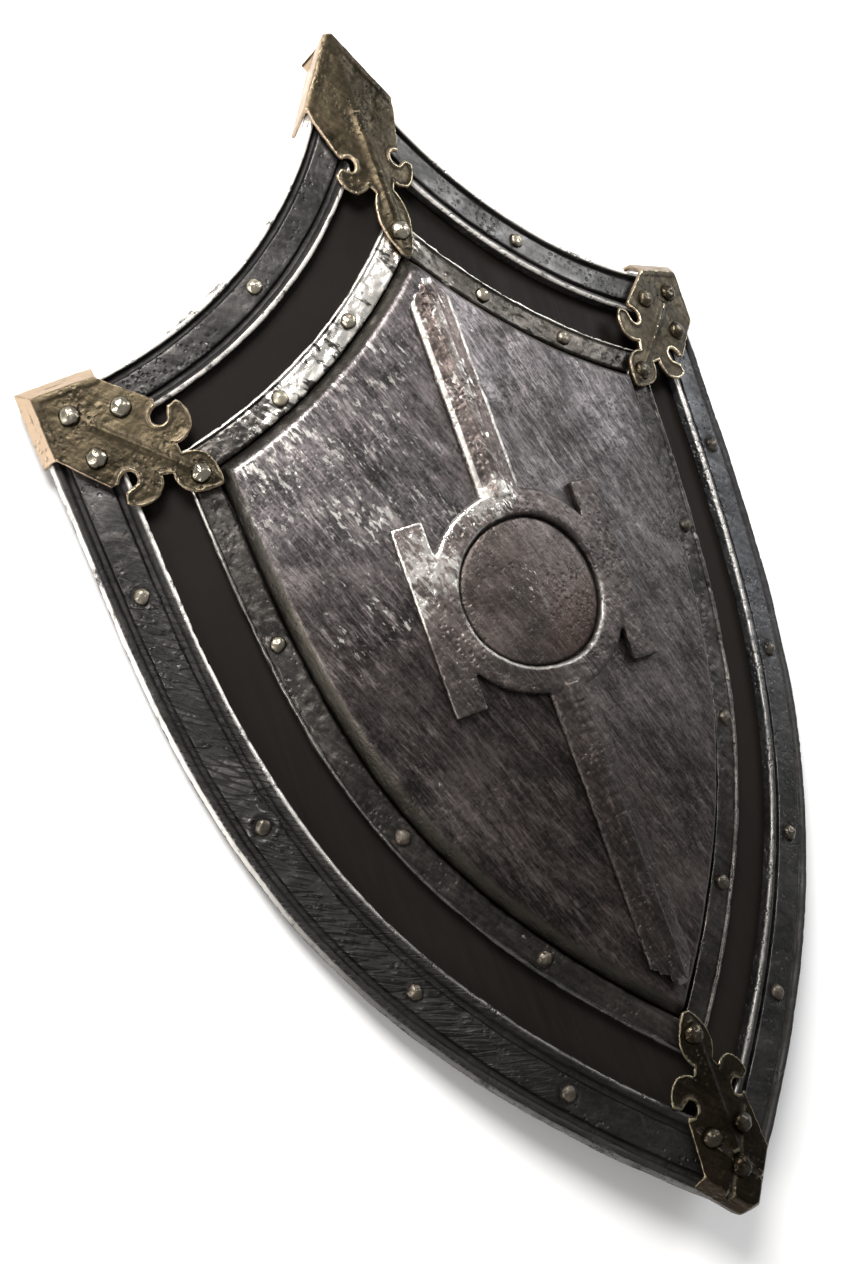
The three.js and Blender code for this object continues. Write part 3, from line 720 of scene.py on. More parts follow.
def board_material(looks):
    """Dark stained wood, smooth in front, with a faint long grain."""
    groups = shared_groups()
    material, n, shader = new_material("stained wood")
    place = n.put("ShaderNodeTexCoord").outputs["Object"]
    strand = use_group(n, groups["strokes"], Vector=place, Angle=math.pi / 2, Scale=240.0,
                       Stretch=0.05, Low=0.35, High=0.7)
    mottle = n.noise(place, 9.0, 4.0, 0.55)
    base = tuple(looks.board_color)
    color = n.mix(n.span(mottle, 0.3, 0.7), tone(base, 0.8), tone(base, 1.25))
    color = n.mix(n.times(strand["Mask"], 0.35), color, tone(base, 1.7))
    n.feed(shader.inputs["Base Color"], color)
    shader.inputs["Specular IOR Level"].default_value = 0.08
    n.feed(shader.inputs["Roughness"], n.span(strand["Height"], 0.3, 0.7, 0.5, 0.68))
    bump = n.put("ShaderNodeBump", None, Strength=0.25, Distance=0.0006, Height=strand["Height"])
    n.feed(shader.inputs["Normal"], bump.outputs[0])
    return material


# ---- settings --------------------------------------------------------------------------------


def paint(name, description, default):
    return bpy.props.FloatVectorProperty(
        name=name, description=description, default=default, subtype="COLOR", size=3,
        min=0.0, max=1.0,
    )


class ShieldLooks(bpy.types.PropertyGroup):
    iron_color: paint("Iron", "Blackened iron of the outer bands", (0.058, 0.0555, 0.0535))
    plate_color: paint("Plate", "Brushed iron of the centre plate", (0.075, 0.066, 0.064))
    brass_color: paint("Brass", "Aged brass of the corner caps", (0.062, 0.049, 0.030))
    # Also the colour of rims, edges and rivet tops drawn bright as painted highlight.
    bright_color: paint("Bare metal", "Metal showing on worn edges", (0.74, 0.71, 0.66))
    board_color: paint("Board", "Stained wood of the board", (0.008, 0.0062, 0.0051))


class ShieldSizes(bpy.types.PropertyGroup):
    chip_depth: bpy.props.FloatProperty(
        name="Chip depth", description="How deep the edges of the bands are chipped",
        default=0.0006, min=0.0, max=0.003, subtype="DISTANCE", unit="LENGTH",
    )
    dent_depth: bpy.props.FloatProperty(
        name="Dent depth", description="How far the sheet metal is dented",
        default=0.0004, min=0.0, max=0.003, subtype="DISTANCE", unit="LENGTH",
    )
    band_rivet_radius: bpy.props.FloatProperty(
        name="Band rivet radius", description="Radius of the heads on the bands",
        default=0.005, min=0.002, max=0.01, subtype="DISTANCE", unit="LENGTH",
    )
    cap_rivet_radius: bpy.props.FloatProperty(
        name="Cap rivet radius", description="Radius of the heads on the corner caps",
        default=0.0062, min=0.002, max=0.01, subtype="DISTANCE", unit="LENGTH",
    )


def looks_and_sizes():
    scene = bpy.context.scene
    return scene.shield_looks, scene.shield_sizes


def tone(color, factor, warm=0.0):
    """A lighter or darker shade of a colour, leaning to brown where warm is above 0."""
    r, g, b = color
    return (r * factor * (1 + warm), g * factor, b * factor * (1 - warm))


# ---- board -----------------------------------------------------------------------------------

BOARD_INSET = 4.2
BOARD_PEAK = 332
PLANK_WIDTH = 68
SEAM_DEPTH = 0.9


def face_grid(levels, columns, rows, blunt, highest=1e3):
    """A closed slab over the whole face. levels are (inset, height) from underside to face.

    blunt cuts its corners back along the side, and no point stands above highest.
    """
    rings = []
    for d, h in levels:
        tip, corner = float(tip_share(np.array(d))), float(corner_share(np.array(d))) + blunt
        low = side_point(np.linspace(tip, corner, columns + 1), d)
        low[0, 0] = 0.0
        high = np.minimum(highest, top_height(low[:, 0], d))
        high = np.maximum(high, low[:, 1])
        rings.append((low, high, h))
    points, faces = [], []

    def sheet(low, high, h):
        share = np.linspace(0, 1, rows + 1)[:, None]
        y = low[None, :, 1] * (1 - share) + high[None, :] * share
        x = np.broadcast_to(low[None, :, 0], y.shape)
        return np.stack([x, y, np.full(y.shape, h)], -1)

    for low, high, h in (rings[0], rings[-1]):
        start = sum(map(len, points))
        points.append(sheet(low, high, h).reshape(-1, 3))
        faces += grid_faces(rows + 1, columns + 1, start)
    start = sum(map(len, points))
    loops = []
    for low, high, h in rings:
        border = [(x, y, h) for x, y in low]
        share = np.linspace(0, 1, rows + 1)[1:-1]
        y0, y1 = low[-1, 1], high[-1]
        border += [(low[-1, 0], y0 + (y1 - y0) * k, h) for k in share]
        border += [(x, y, h) for (x, _), y in zip(low[::-1], high[::-1])]
        loops.append(border)
    points.append(np.array(loops).reshape(-1, 3))
    faces += grid_faces(len(loops), len(loops[0]), start)
    points = np.concatenate(points)
    left = points * np.array([-1, 1, 1])
    return joined([(points, faces), (left, [face[::-1] for face in faces])])


class SHIELD_OT_board(bpy.types.Operator):
    """Add the board: its uncovered face shows between the bands, and its back is planked"""

    bl_idname = "shield.board"
    bl_label = "Board"

    def execute(self, context):
        looks, _ = looks_and_sizes()
        levels = [(BOARD_INSET, BOARD_BACK), (BOARD_INSET, BOARD_FRONT)]
        mesh = new_mesh(*face_grid(levels, columns=90, rows=110, blunt=0.03, highest=BOARD_PEAK))

        def planks(points, worn):
            back = points[:, 2] < (BOARD_BACK + BOARD_FRONT) / 2
            half = PLANK_WIDTH / 2
            seam = np.abs((np.abs(points[:, 0]) + half) % PLANK_WIDTH - half)
            groove = -SEAM_DEPTH * (1 - ease(0.2, 2.4, seam))
            return np.where(back, groove, 0.05 * grain(points, 40))

        finish_piece(mesh, "board_wood", ["board"], board_material(looks),
                     (1, 0.5, 0.0, 8.0), planks)
        return {"FINISHED"}


# ---- bands -----------------------------------------------------------------------------------


def keel_stop(h, trim):
    return np.maximum(trim, 0.25 + np.maximum(0, -h) * math.tan(KEEL_ANGLE))


def side_rows(section, steps, trim):
    d, h = section.T
    start, end = corner_share(d) + 0.0008, tip_share(d, keel_stop(h, trim))
    share = start[:, None] + (end - start)[:, None] * np.linspace(0, 1, steps + 1)
    flat = side_point(share, d[:, None])
    return np.concatenate([flat, np.broadcast_to(h[:, None, None], flat.shape[:2] + (1,))], 2)


def top_rows(section, steps, trim):
    d, h = section.T
    radius = ARC_RADIUS + top_offset(d)
    start = math.pi + np.arccos((ARC_CENTRE[0] - keel_stop(h, trim)) / radius)
    corner = side_point(corner_share(d), d)[:, 0]
    end = math.pi + np.arccos((ARC_CENTRE[0] - corner) / radius) - 0.5 / radius
    angle = start[:, None] + (end - start)[:, None] * np.linspace(0, 1, steps + 1)
    x = ARC_CENTRE[0] + radius[:, None] * np.cos(angle)
    y = ARC_CENTRE[1] + radius[:, None] * np.sin(angle)
    return np.stack([x, y, np.broadcast_to(h[:, None], x.shape)], 2)


OUTER_SECTION = [
    (2.5, RIM_BOTTOM), (2.5, BAND_UNDER), (36.6, BAND_UNDER), (36.6, 3.2), (35.4, 4.6),
    (32.6, 4.7), (31.0, 2.8), (30.2, -0.8), (27.0, -0.8), (26.4, 1.8), (9.4, 2.0), (8.2, -1.2),
    (5.6, -1.2), (4.8, 1.2), (3.2, 2.4), (1.2, 1.8), (-1.6, -2.4), (-1.6, RIM_BOTTOM),
]
INNER_SECTION = [
    (65.4, BAND_UNDER), (82.8, BAND_UNDER), (82.8, 2.6), (81.8, 3.6), (69.2, 3.4),
    (68.0, 2.9), (67.2, 4.4), (66.1, 4.4), (65.4, 3.4),
]

# Where the rivets stand: how far inwards, and then along the keel on the side bands and across
# it on the top ones.
OUTER_MIDDLE = 18.0
INNER_MIDDLE = INNER_START + INNER_BAND / 2 + 0.6
OUTER_SIDE_RIVETS = (65.0, -76.0, -188.0, -270.0)
OUTER_TOP_RIVETS = (93,)
INNER_SIDE_RIVETS = (16, -107, -197)
INNER_TOP_RIVETS = (47, 101)

# Round each rivet of the outer side bands a dark ring is painted into the colour as the head's
# shadow, and a ring is beaten up round the second one on the left. Both are measured from the
# middle of the head.
RIVET_SHADOW_RADIUS, RIVET_SHADOW_WIDTH = 5.0, 1.4
BEATEN_RIVET = -76.0
BEATEN_RADIUS, BEATEN_WIDTH, BEATEN_HEIGHT = 7.8, 1.4, 1.5


def side_place(d, v):
    t = float(crossing(lambda k: side_point(k, np.array(d))[..., 1] - v, 0, 1, ()))
    return float(side_point(t, d)[0]), v


def top_place(d, s):
    return s, float(top_height(s, d))


def crest_of(section, rim_width):
    """1 on the rims that hands and floors rub bright, also drawn as painted highlight; below 0 in
    the grooves beside them, painted dark as shade.
    """
    d, h = section.T
    rim = ease(-3.4, -2.4, h) * ease(rim_width, rim_width - 1.0, d)
    bead = ease(2.4, 3.6, h) * ease(34.2, 35.0, d) * ease(67.2, 66.4, d)
    # The groove inside the rim and the slope up to the bead are marked below 0: painted dark as
    # shade.
    groove = 0.9 * ease(rim_width + 0.2, rim_width + 1.2, d) * ease(9.2, 8.2, d)
    slope = 0.6 * ease(26.4, 27.4, d) * ease(34.0, 32.6, d)
    return np.maximum(rim, bead) - groove - slope


def make_band(name, section, rows, material, sizes, seed, rough, rim_width):
    """One pair of bands, left and right, whose right half follows the rows."""
    steps = rows.shape[1] - 1
    along = np.linalg.norm(np.diff(rows[:, :, :2], axis=1), axis=2).cumsum(1)
    along = np.concatenate([np.zeros((len(section), 1)), along], 1)
    lay = np.stack([along, np.broadcast_to(section[:, :1], along.shape)], 2).reshape(-1, 2)
    lip = np.repeat(crest_of(section, rim_width), steps + 1)
    chip, dent = sizes.chip_depth / MM, sizes.dent_depth / MM
    beaten = np.array(side_place(OUTER_MIDDLE, BEATEN_RIVET)) * np.array([-1, 1])
    riveted_side = name == "outer_band_side"
    for side, sign in (("right", 1), ("left", -1)):
        points, faces = tube(rows * np.array([sign, 1, 1]))
        mesh = new_mesh(points, faces, merge=False)
        marks = lip.copy()
        if riveted_side:
            flat = points[:, :2]
            for v in OUTER_SIDE_RIVETS:
                spot = np.array(side_place(OUTER_MIDDLE, v)) * np.array([sign, 1])
                reach = np.linalg.norm(flat - spot, axis=1)
                # A dark ring at the edge of each head: painted shadow.
                marks -= 0.7 * hump(reach, RIVET_SHADOW_RADIUS, RIVET_SHADOW_WIDTH)
            reach = np.linalg.norm(flat - beaten, axis=1)
            marks += 0.16 * hump(reach, BEATEN_RADIUS, 1.1)

        def relief(p, worn, seed=seed + sign):
            broad = grain(p, 34, 3, seed) * dent
            fine = grain(p, 5, 2, seed + 5) * dent * 0.35 * rough
            nick = ease(0.35, 0.8, grain(p, 3.2, 2, seed + 9)) * chip * 0.6 * rough
            shift = (broad + fine) * (1 - 0.5 * worn) - nick
            reach = np.linalg.norm(p[:, :2] - beaten, axis=1)
            ring = BEATEN_HEIGHT * hump(reach, BEATEN_RADIUS, BEATEN_WIDTH)
            return shift + ring * riveted_side

        finish_piece(mesh, f"{name}_{side}_iron", [f"{name}_{side}"], material,
                     (2, 0.35, chip, 9.0), relief, lay * np.array([1, sign]), marks)


class SHIELD_OT_bands(bpy.types.Operator):
    """Add the outer and inner iron bands, with rolled rims, beads and chipped edges"""

    bl_idname = "shield.bands"
    bl_label = "Bands"

    def execute(self, context):
        looks, sizes = looks_and_sizes()
        iron, bright = tuple(looks.iron_color), tuple(looks.bright_color)
        outer = metal_material("outer band iron", {
            "dark": tone(iron, 0.34), "light": tone(iron, 1.0), "mottle": 12.0,
            "rubbed_and_sheen": tone(iron, 2.4, 0.03), "worn": bright, "grime_and_shade_color": (0.008, 0.007, 0.006),
            # Painted light and shade: darker low down, lighter at the top, lighter and bluish on
            # the right; edges and rims are drawn brighter on the left and the top, partly as
            # painted highlight.
            "tones_and_painted_light": [((0.5, 0.5, 0.5), -0.1, -0.3, 0.34, 0.8),
                      ((2.4, 2.4, 2.4), 0.1, 0.25, 0.19, 0.95),
                      ((2.0, 2.1, 2.3), 0.22, -0.0, 0.2, 0.95)],
            "wear_and_painted_highlight": (0.35, [(-0.2, 0.1, 0.3, 0.5), (0.1, 0.25, 0.2, 0.4)]),
            "lip": (0.12, [(-0.24, 0.12, 0.32, 1.1), (0.05, 0.3, 0.28, 1.0),
                           (0.24, 0.05, 0.2, 0.5)]),
            "cracks": [(-0.2, -0.03, 0.13, 1.3), (-0.17, -0.16, 0.12, 1.1)],
            "strokes": 0.6, "cross": 0.5, "angle": 0.5, "cross angle": 1.45, "stretch": 0.16,
            "rough": (0.34, 0.58), "flecks": 0.35, "edges": 1.0, "metal": 0.85, "bump": 0.5,
            "edge white": 0.35,
        })
        inner = metal_material("inner band iron", {
            "dark": tone(iron, 0.34, 0.05), "light": tone(iron, 1.2, 0.05), "mottle": 18.0,
            "rubbed_and_sheen": tone(iron, 3.0, 0.06), "worn": bright, "grime_and_shade_color": (0.010, 0.009, 0.008),
            # Painted light and shade: darker low down, lighter at the top; flecks, edges and rims
            # are drawn brighter at the upper left and top, partly as painted highlight.
            "tones_and_painted_light": [((0.6, 0.58, 0.56), -0.02, -0.28, 0.3, 0.7),
                      ((1.6, 1.5, 1.35), 0.08, 0.2, 0.12, 0.8)],
            "wear_and_painted_highlight": (0.35, [(-0.07, 0.225, 0.13, 2.0), (-0.13, 0.0, 0.14, 0.35)]),
            "lip": (0.1, [(-0.06, 0.22, 0.2, 1.2), (0.09, 0.2, 0.16, 0.6)]),
            "pit scale": 300.0, "edge white": 0.4,
            "strokes": 0.7, "cross": 0.5, "angle": 0.9, "cross angle": 2.4, "fleck scale": 190.0,
            "rough": (0.28, 0.52), "flecks": 0.8, "edges": 1.4, "metal": 0.9, "bump": 0.65,
            "fleck white": 0.95, "patch scale": 30.0,
        })
        wide, narrow = rounded(OUTER_SECTION, 0.9, 1.5), rounded(INNER_SECTION, 0.8, 1.3)
        for name, section, rows, material, seed, rough, rim in (
            ("outer_band_side", wide, side_rows(wide, 380, TIP_TRIM), outer, 11, 1.0, 1.2),
            ("outer_band_top", wide, top_rows(wide, 140, PEAK_TRIM), outer, 21, 0.8, 4.4),
            ("inner_band_side", narrow, side_rows(narrow, 250, 0.0), inner, 31, 1.3, 1.8),
            ("inner_band_top", narrow, top_rows(narrow, 110, 0.0), inner, 41, 1.8, 1.8),
        ):
            make_band(name, section, rows, material, sizes, seed, rough, rim)
        return {"FINISHED"}


# ---- centre plate, ring cross and boss -------------------------------------------------------


# The plate's wall rises in this many steps, over this angle of its curve, from its foot.
PLATE_FOOT, PLATE_STEPS, PLATE_CURVE = 0.6, 7, 1.42


def plate_look(looks):
    base, bright = tuple(looks.plate_color), tuple(looks.bright_color)
    return {
        "dark": tone(base, 0.24, 0.03), "light": tone(base, 1.5, 0.02), "mottle": 20.0,
        "rubbed_and_sheen": tone(base, 4.6, 0.0), "worn": bright, "grime_and_shade_color": (0.012, 0.010, 0.009),
        # Painted light and shade: lighter and bluish at the upper left, lighter at the upper
        # right, darker low down and on the left; flecks and strokes are drawn brighter at the
        # upper left, partly as painted highlight.
        "tones_and_painted_light": [((2.1, 2.2, 2.35), -0.08, 0.14, 0.15, 0.9),
                  ((0.6, 0.53, 0.5), -0.03, -0.18, 0.2, 0.8),
                  ((0.6, 0.57, 0.57), -0.09, -0.04, 0.11, 0.8),
                  ((1.5, 1.5, 1.55), 0.07, 0.17, 0.12, 0.9),
                  ((1.05, 1.08, 1.14), 0.12, 0.05, 0.16, 0.8)],
        "wear_and_painted_highlight": (0.2, [(-0.085, 0.13, 0.14, 1.15), (0.07, 0.17, 0.13, 0.3),
                        (-0.12, 0.0, 0.04, 0.5), (-0.095, -0.085, 0.04, 0.7)]),
        "strokes": 0.9, "cross": 0.4, "angle": 1.2, "cross angle": 0.35, "stretch": 0.17,
        "stroke scale": 230.0, "stroke low": 0.5, "rough": (0.32, 0.5), "flecks": 0.7,
        "fleck scale": 320.0, "patch scale": 48.0, "edges": 0.1, "edge white": 0.12,
        "metal": 0.9, "bump": 0.5, "stroke depth": 0.8, "pit depth": 0.3, "fleck white": 0.75,
        # The sloped walls are painted dark: painted shade.
        "wall": (0.85, ()), "painted wall light and shade": (0.042, 0.038, 0.030), "lip": (0.0, ()),
    }


class SHIELD_OT_plate(bpy.types.Operator):
    """Add the raised centre plate with its sloped walls"""

    bl_idname = "shield.plate"
    bl_label = "Centre plate"

    def execute(self, context):
        looks, sizes = looks_and_sizes()
        levels = [(PLATE_START, BAND_UNDER), (PLATE_START, PLATE_FOOT)]
        for k in range(1, PLATE_STEPS + 1):
            rise = (PLATE_FACE - PLATE_FOOT) * math.sin(k / PLATE_STEPS * PLATE_CURVE)
            levels.append((PLATE_START + PLATE_BEVEL * k / PLATE_STEPS,
                           PLATE_FOOT + rise / math.sin(PLATE_CURVE)))
        levels.append((PLATE_START + PLATE_BEVEL + 1.6, PLATE_FACE + 0.1))
        mesh = new_mesh(*face_grid(levels, columns=130, rows=150, blunt=0.002))
        dent = sizes.dent_depth / MM

        def relief(p, worn):
            return (grain(p, 46, 3, 3) * 0.9 + grain(p, 9, 2, 4) * 0.25) * dent

        finish_piece(mesh, "plate_iron", ["centre_plate"],
                     metal_material("plate iron", plate_look(looks)), (2, 0.12, 0.5, 7.0), relief)
        return {"FINISHED"}


def lathe(profile, steps):
    """A closed turned shape about the origin; a first or last radius of 0 closes it."""
    angle = np.linspace(0, 2 * math.pi, steps, endpoint=False)
    r, h = np.array(profile, float).T
    x, y = r[None, :] * np.cos(angle)[:, None], r[None, :] * np.sin(angle)[:, None]
    points = np.stack([x, y, np.broadcast_to(h, x.shape)], 2)
    return points.reshape(-1, 3), grid_faces(steps, len(profile), wrap=True)


def ring_profile():
    wide, high = 1.6, 1.4
    return [(RING_INNER, CROSS_BOTTOM), (RING_OUTER, CROSS_BOTTOM),
            (RING_OUTER, RING_FACE - high), (RING_OUTER - wide, RING_FACE),
            (RING_INNER + wide, RING_FACE), (RING_INNER, RING_FACE - high),
            (RING_INNER, CROSS_BOTTOM)]


def strap_shell(start, end):
    """A ridged strap along the keel, its far end cut to a shallow point."""
    half = [(STRAP_HALF, CROSS_BOTTOM), (STRAP_HALF, CROSS_BOTTOM + 3.2),
            (STRAP_HALF - 1.8, RING_FACE - 1.0), (2.2, STRAP_RIDGE - 1.1), (0.0, STRAP_RIDGE)]
    section = half + [(-s, h) for s, h in reversed(half[:-1])]
    point = 1.2 if start > end else -1.2
    steps = np.linspace(0, 1, 30)
    rows = [[(s, start + (end + point * abs(s) - start) * k, h) for k in steps]
            for s, h in section]
    return tube(np.array(rows))


def slab(outline, bottom, top):
    """A flat closed shape over an outline of (across, along) points."""
    count = len(outline)
    points = [(x, y, bottom) for x, y in outline] + [(x, y, top) for x, y in outline]
    faces = [list(range(count))[::-1], list(range(count, 2 * count))]
    faces += [[i, (i + 1) % count, count + (i + 1) % count, count + i] for i in range(count)]
    return np.array(points), faces


def bar_shell(sign):
    x0, x1, y = sign * BAR_INNER, sign * BAR_OUTER, BAR_HALF_LENGTH
    outline = [(x0, -y), (x1, -y), (x1, y), (x0, y)]
    return slab(outline, CROSS_BOTTOM, RING_FACE - 0.2)


class SHIELD_OT_cross(bpy.types.Operator):
    """Add the ring cross and the low boss inside its ring"""

    bl_idname = "shield.cross"
    bl_label = "Ring cross and boss"

    def execute(self, context):
        looks, _ = looks_and_sizes()
        base, bright = tuple(looks.plate_color), tuple(looks.bright_color)
        shells = [lathe(ring_profile(), 160), strap_shell(STRAP_START, STRAP_ENDS[0]),
                  strap_shell(-STRAP_START, STRAP_ENDS[1]), bar_shell(1), bar_shell(-1)]
        mesh = remeshed(shells, 0.85, 2)
        look = plate_look(looks)
        look.update({
            "dark": tone(base, 0.55, 0.03), "light": tone(base, 1.7, 0.05),
            "rubbed_and_sheen": tone(base, 3.8, 0.02), "worn": bright,
            # Painted light and shade: lighter at the upper left of the ring and up the upper
            # strap, darker along the lower strap; the side walls are painted dark as shade.
            "wear_and_painted_highlight": (0.15, [(-0.04, 0.05, 0.07, 1.1), (0.0, 0.14, 0.1, 0.8)]),
            "tones_and_painted_light": [((2.5, 2.5, 2.5), -0.04, 0.045, 0.065, 0.95),
                      ((1.25, 1.15, 1.12), 0.0, 0.15, 0.1, 0.8),
                      ((0.34, 0.32, 0.31), 0.0, -0.16, 0.15, 0.9)],
            "flecks": 0.9, "edges": 1.3, "edge white": 0.55, "bump": 0.7, "pit depth": 0.7,
            "lip": (0.0, [(0.0, 0.13, 0.13, 0.8), (0.0, -0.04, 0.1, 0.45),
                          (0.07, 0.07, 0.03, 0.6)]),
            "wall": (0.5, ()), "painted wall light and shade": (0.022, 0.020, 0.018),
        })

        # Drawn bright, partly worn metal and partly painted highlight: the upper strap's edges,
        # the ring's inner edge low down, and the upper ends of the side bars.
        s, v = coordinates(mesh)[:, :2].T
        radius = np.hypot(s, v)
        edge = ease(8.6, 9.4, abs(s)) * ease(12.2, 11.4, abs(s)) * ease(57, 70, v)
        inner = ease(44.2, 44.9, radius) * ease(47.0, 46.2, radius) * ease(12, -12, v)
        tips = ease(69, 70.5, abs(v)) * ease(58, 60, abs(s)) * (v > 0)
        lip = np.maximum(np.maximum(edge, inner), tips)

        def relief(p, worn):
            nick = 0.2 * ease(0.3, 0.8, grain(p, 2.4, 2, 10))
            return grain(p, 22, 3, 8) * 0.25 + grain(p, 3.5, 2, 9) * 0.16 - nick

        finish_piece(mesh, "ring_cross_iron", ["ring_cross"],
                     metal_material("cross iron", look), (3, 0.35, 0.3, 5.0), relief, lip=lip)

        share = np.linspace(1, 0, 26)
        crown = [(BOSS_RADIUS * k, BOSS_EDGE + (BOSS_TOP - BOSS_EDGE) * math.sqrt(1 - k * k))
                 for k in share]
        boss = new_mesh(*lathe([(0, CROSS_BOTTOM), (BOSS_RADIUS, CROSS_BOTTOM)] + crown, 120))
        look = plate_look(looks)
        look.update({"dark": tone(base, 0.6, 0.06), "light": tone(base, 1.7, 0.06),
                     # A darker brownish patch near the middle, and wear and painted highlight
                     # drawn stronger at the crown.
                     "tones_and_painted_light": [((0.75, 0.6, 0.56), 0.03, -0.01, 0.03, 0.8)],
                     "wear_and_painted_highlight": (0.22, [(-0.01, 0.01, 0.02, 1.0)]), "strokes": 0.3, "cross": 0.2,
                     "flecks": 0.6, "bump": 0.6, "fleck scale": 600.0, "mottle": 40.0,
                     "pit depth": 0.8, "grain depth": 0.5, "rubbed_and_sheen": tone(base, 3.0, 0.03)})
        finish_piece(boss, "boss_iron", ["boss_disc"],
                     metal_material("boss iron", look), (1, 0.3, 0.2, 5.0),
                     lambda p, worn: grain(p, 12, 3, 6) * 0.22)
        return {"FINISHED"}


# ---- corner caps -----------------------------------------------------------------------------

# Each cap is drawn along its own axis: p runs from the outline's corner towards the centre of
# the shield and q across it. body is half the plate, and claw and tip set the size of the claws
# and where the tongue ends. skirt holds its reach past the rim, the fall of its slope, how low
# its wall goes, and how blunt its point is, if it is.
CAPS = {
    "top": {"origin": (0, 370), "axis": (0, -1), "body": [(15, 0), (59, 28), (66, 27), (90, 20)],
            "skirt": (2.6, 1.2, -28.0, 0.5), "claw": 21, "tip": 159,
            "rivets": [(143, 0)], "grooves": []},
    "right": {"origin": (236, 190), "axis": (-0.745, -0.667), "body": [(5, 0), (31, 26), (64, 28)],
              "skirt": (8.4, 7.6, -5.0, None), "claw": 28, "tip": 118,
              "rivets": [(27, 0), (50, 16), (50, -16), (105, 0)], "grooves": []},
    "left": {"origin": (-236, 190), "axis": (0.745, -0.667), "body": [(5, 0), (31, 26), (64, 28)],
             "skirt": (8.4, 7.6, -5.0, None), "claw": 28, "tip": 118,
             "rivets": [(27, 0), (50, 16), (50, -16), (105, 0)], "grooves": []},
    "bottom": {"origin": (0, -370), "axis": (0, 1), "body": [(5, 0), (31, 22), (60, 20)],
               "skirt": (8.0, 7.6, -9.5, 0.5), "claw": 22, "tip": 117,
               "rivets": [(27, 0), (48, 10), (48, -10), (104, 0)],
               "grooves": [((14, -12), (56, 16)), ((14, 12), (56, -16))]},
}


# Beads along the edges of the claws and of the tongue, and the ridge down the middle.
CLAW_BEAD, CLAW_BEAD_SINK = 1.5, 0.9
TONGUE_BEAD, TONGUE_BEAD_SINK = 1.1, 0.8
CLAW_POINTS = 19  # of a cap's outline, from the end of the plate to the claw's tip
RIDGE_HEIGHT, RIDGE_WIDTH = 1.1, 2.4
GROOVE_DEPTH = 1.1


def cap_place(cap, points):
    """A cap's own (p, q, h) into the sheet's (across, along, out)."""
    e = np.array(cap["axis"], float)
    e /= np.linalg.norm(e)
    flat = np.array(cap["origin"]) + points[:, :1] * e + points[:, 1:2] * np.array([-e[1], e[0]])
    return np.concatenate([flat, points[:, 2:3]], 1)


def curve(a, b, c, steps=8):
    t = np.linspace(0, 1, steps + 1)[1:, None]
    return [tuple(p) for p in (1 - t) ** 2 * np.array(a) + 2 * t * (1 - t) * np.array(b)
            + t * t * np.array(c)]


def cap_half(cap):
    """Half outline of a cap: plate, round notch, claw, neck and leaf-shaped tongue."""
    w, tip, x = cap["claw"], cap["tip"], cap["body"][-1][0]
    path = list(cap["body"]) + [(x + 2, 0.9 * w)]
    path += curve(path[-1], (x - 1, 0.62 * w), (x + 5, 0.5 * w))
    path += curve(path[-1], (x + 12, 0.46 * w), (x + 13, 0.72 * w))
    path += [(x + 9.5, 0.98 * w), (x + 12, 1.14 * w)]
    path += curve(path[-1], (x + 21, 1.12 * w), (x + 25, 0.78 * w))
    path += curve(path[-1], (x + 25, 0.42 * w), (x + 20, 0.36 * w))
    path += [(x + 27, 0.2 * w)]
    leaf = tip - x - 27
    path += curve(path[-1], (x + 27 + 0.3 * leaf, 0.52 * w), (x + 27 + 0.62 * leaf, 0.34 * w))
    path += curve(path[-1], (tip - 3, 0.16 * w), (tip, 0))
    return path


def wire(path, radius, height):
    """A round wire that lies along a path of (p, q) points at one height."""
    path = np.array(path, float)
    run = np.gradient(path, axis=0)
    run /= np.linalg.norm(run, axis=1, keepdims=True) + 1e-9
    side = np.stack([run[:, 1], -run[:, 0]], 1)
    angle = np.linspace(0, 2 * math.pi, 10, endpoint=False)
    rows = [np.column_stack([path + side * (radius * math.cos(a)),
                             np.full(len(path), height + radius * math.sin(a))]) for a in angle]
    return tube(np.array(rows))


def skirt_shell(cap):
    """The folded skirt: a slope over the rim and a wall; a blunt one is cut across its point."""
    reach, slope, bottom, blunt = cap["skirt"]
    inner = reach - CAP_WALL
    section = [(-3, CAP_BOTTOM), (max(inner - 3, 0), CAP_BOTTOM), (inner, CAP_BOTTOM - slope),
               (inner, bottom), (reach, bottom), (reach, CAP_FACE - slope), (0.6, CAP_FACE),
               (-3, CAP_FACE)]
    point, end = np.array(cap["body"][0], float), np.array(cap["body"][1], float)
    along = (end - point) / np.linalg.norm(end - point)
    out = np.array([-along[1], along[0]])
    rows = []
    for o, h in section:
        last = end + out * o
        corner = (point[0] - o / along[1], 0.0)
        if blunt and o > 0:
            corner = (point[0] - o * blunt, o * (1 - along[1] * blunt) / along[0])
        half = [(corner[0], -corner[1], h), (*corner, h)] if blunt else [(*corner, h)]
        rows.append([(last[0], -last[1], h), *half, (last[0], last[1], h)])
    return tube(np.array(rows))


def to_segment(points, a, b):
    """How far each point is from the straight line between a and b."""
    a, b = np.array(a, float), np.array(b, float)
    run = b - a
    share = np.clip(((points - a) @ run) / (run @ run), 0, 1)
    return np.linalg.norm(points - a - share[:, None] * run, axis=1)


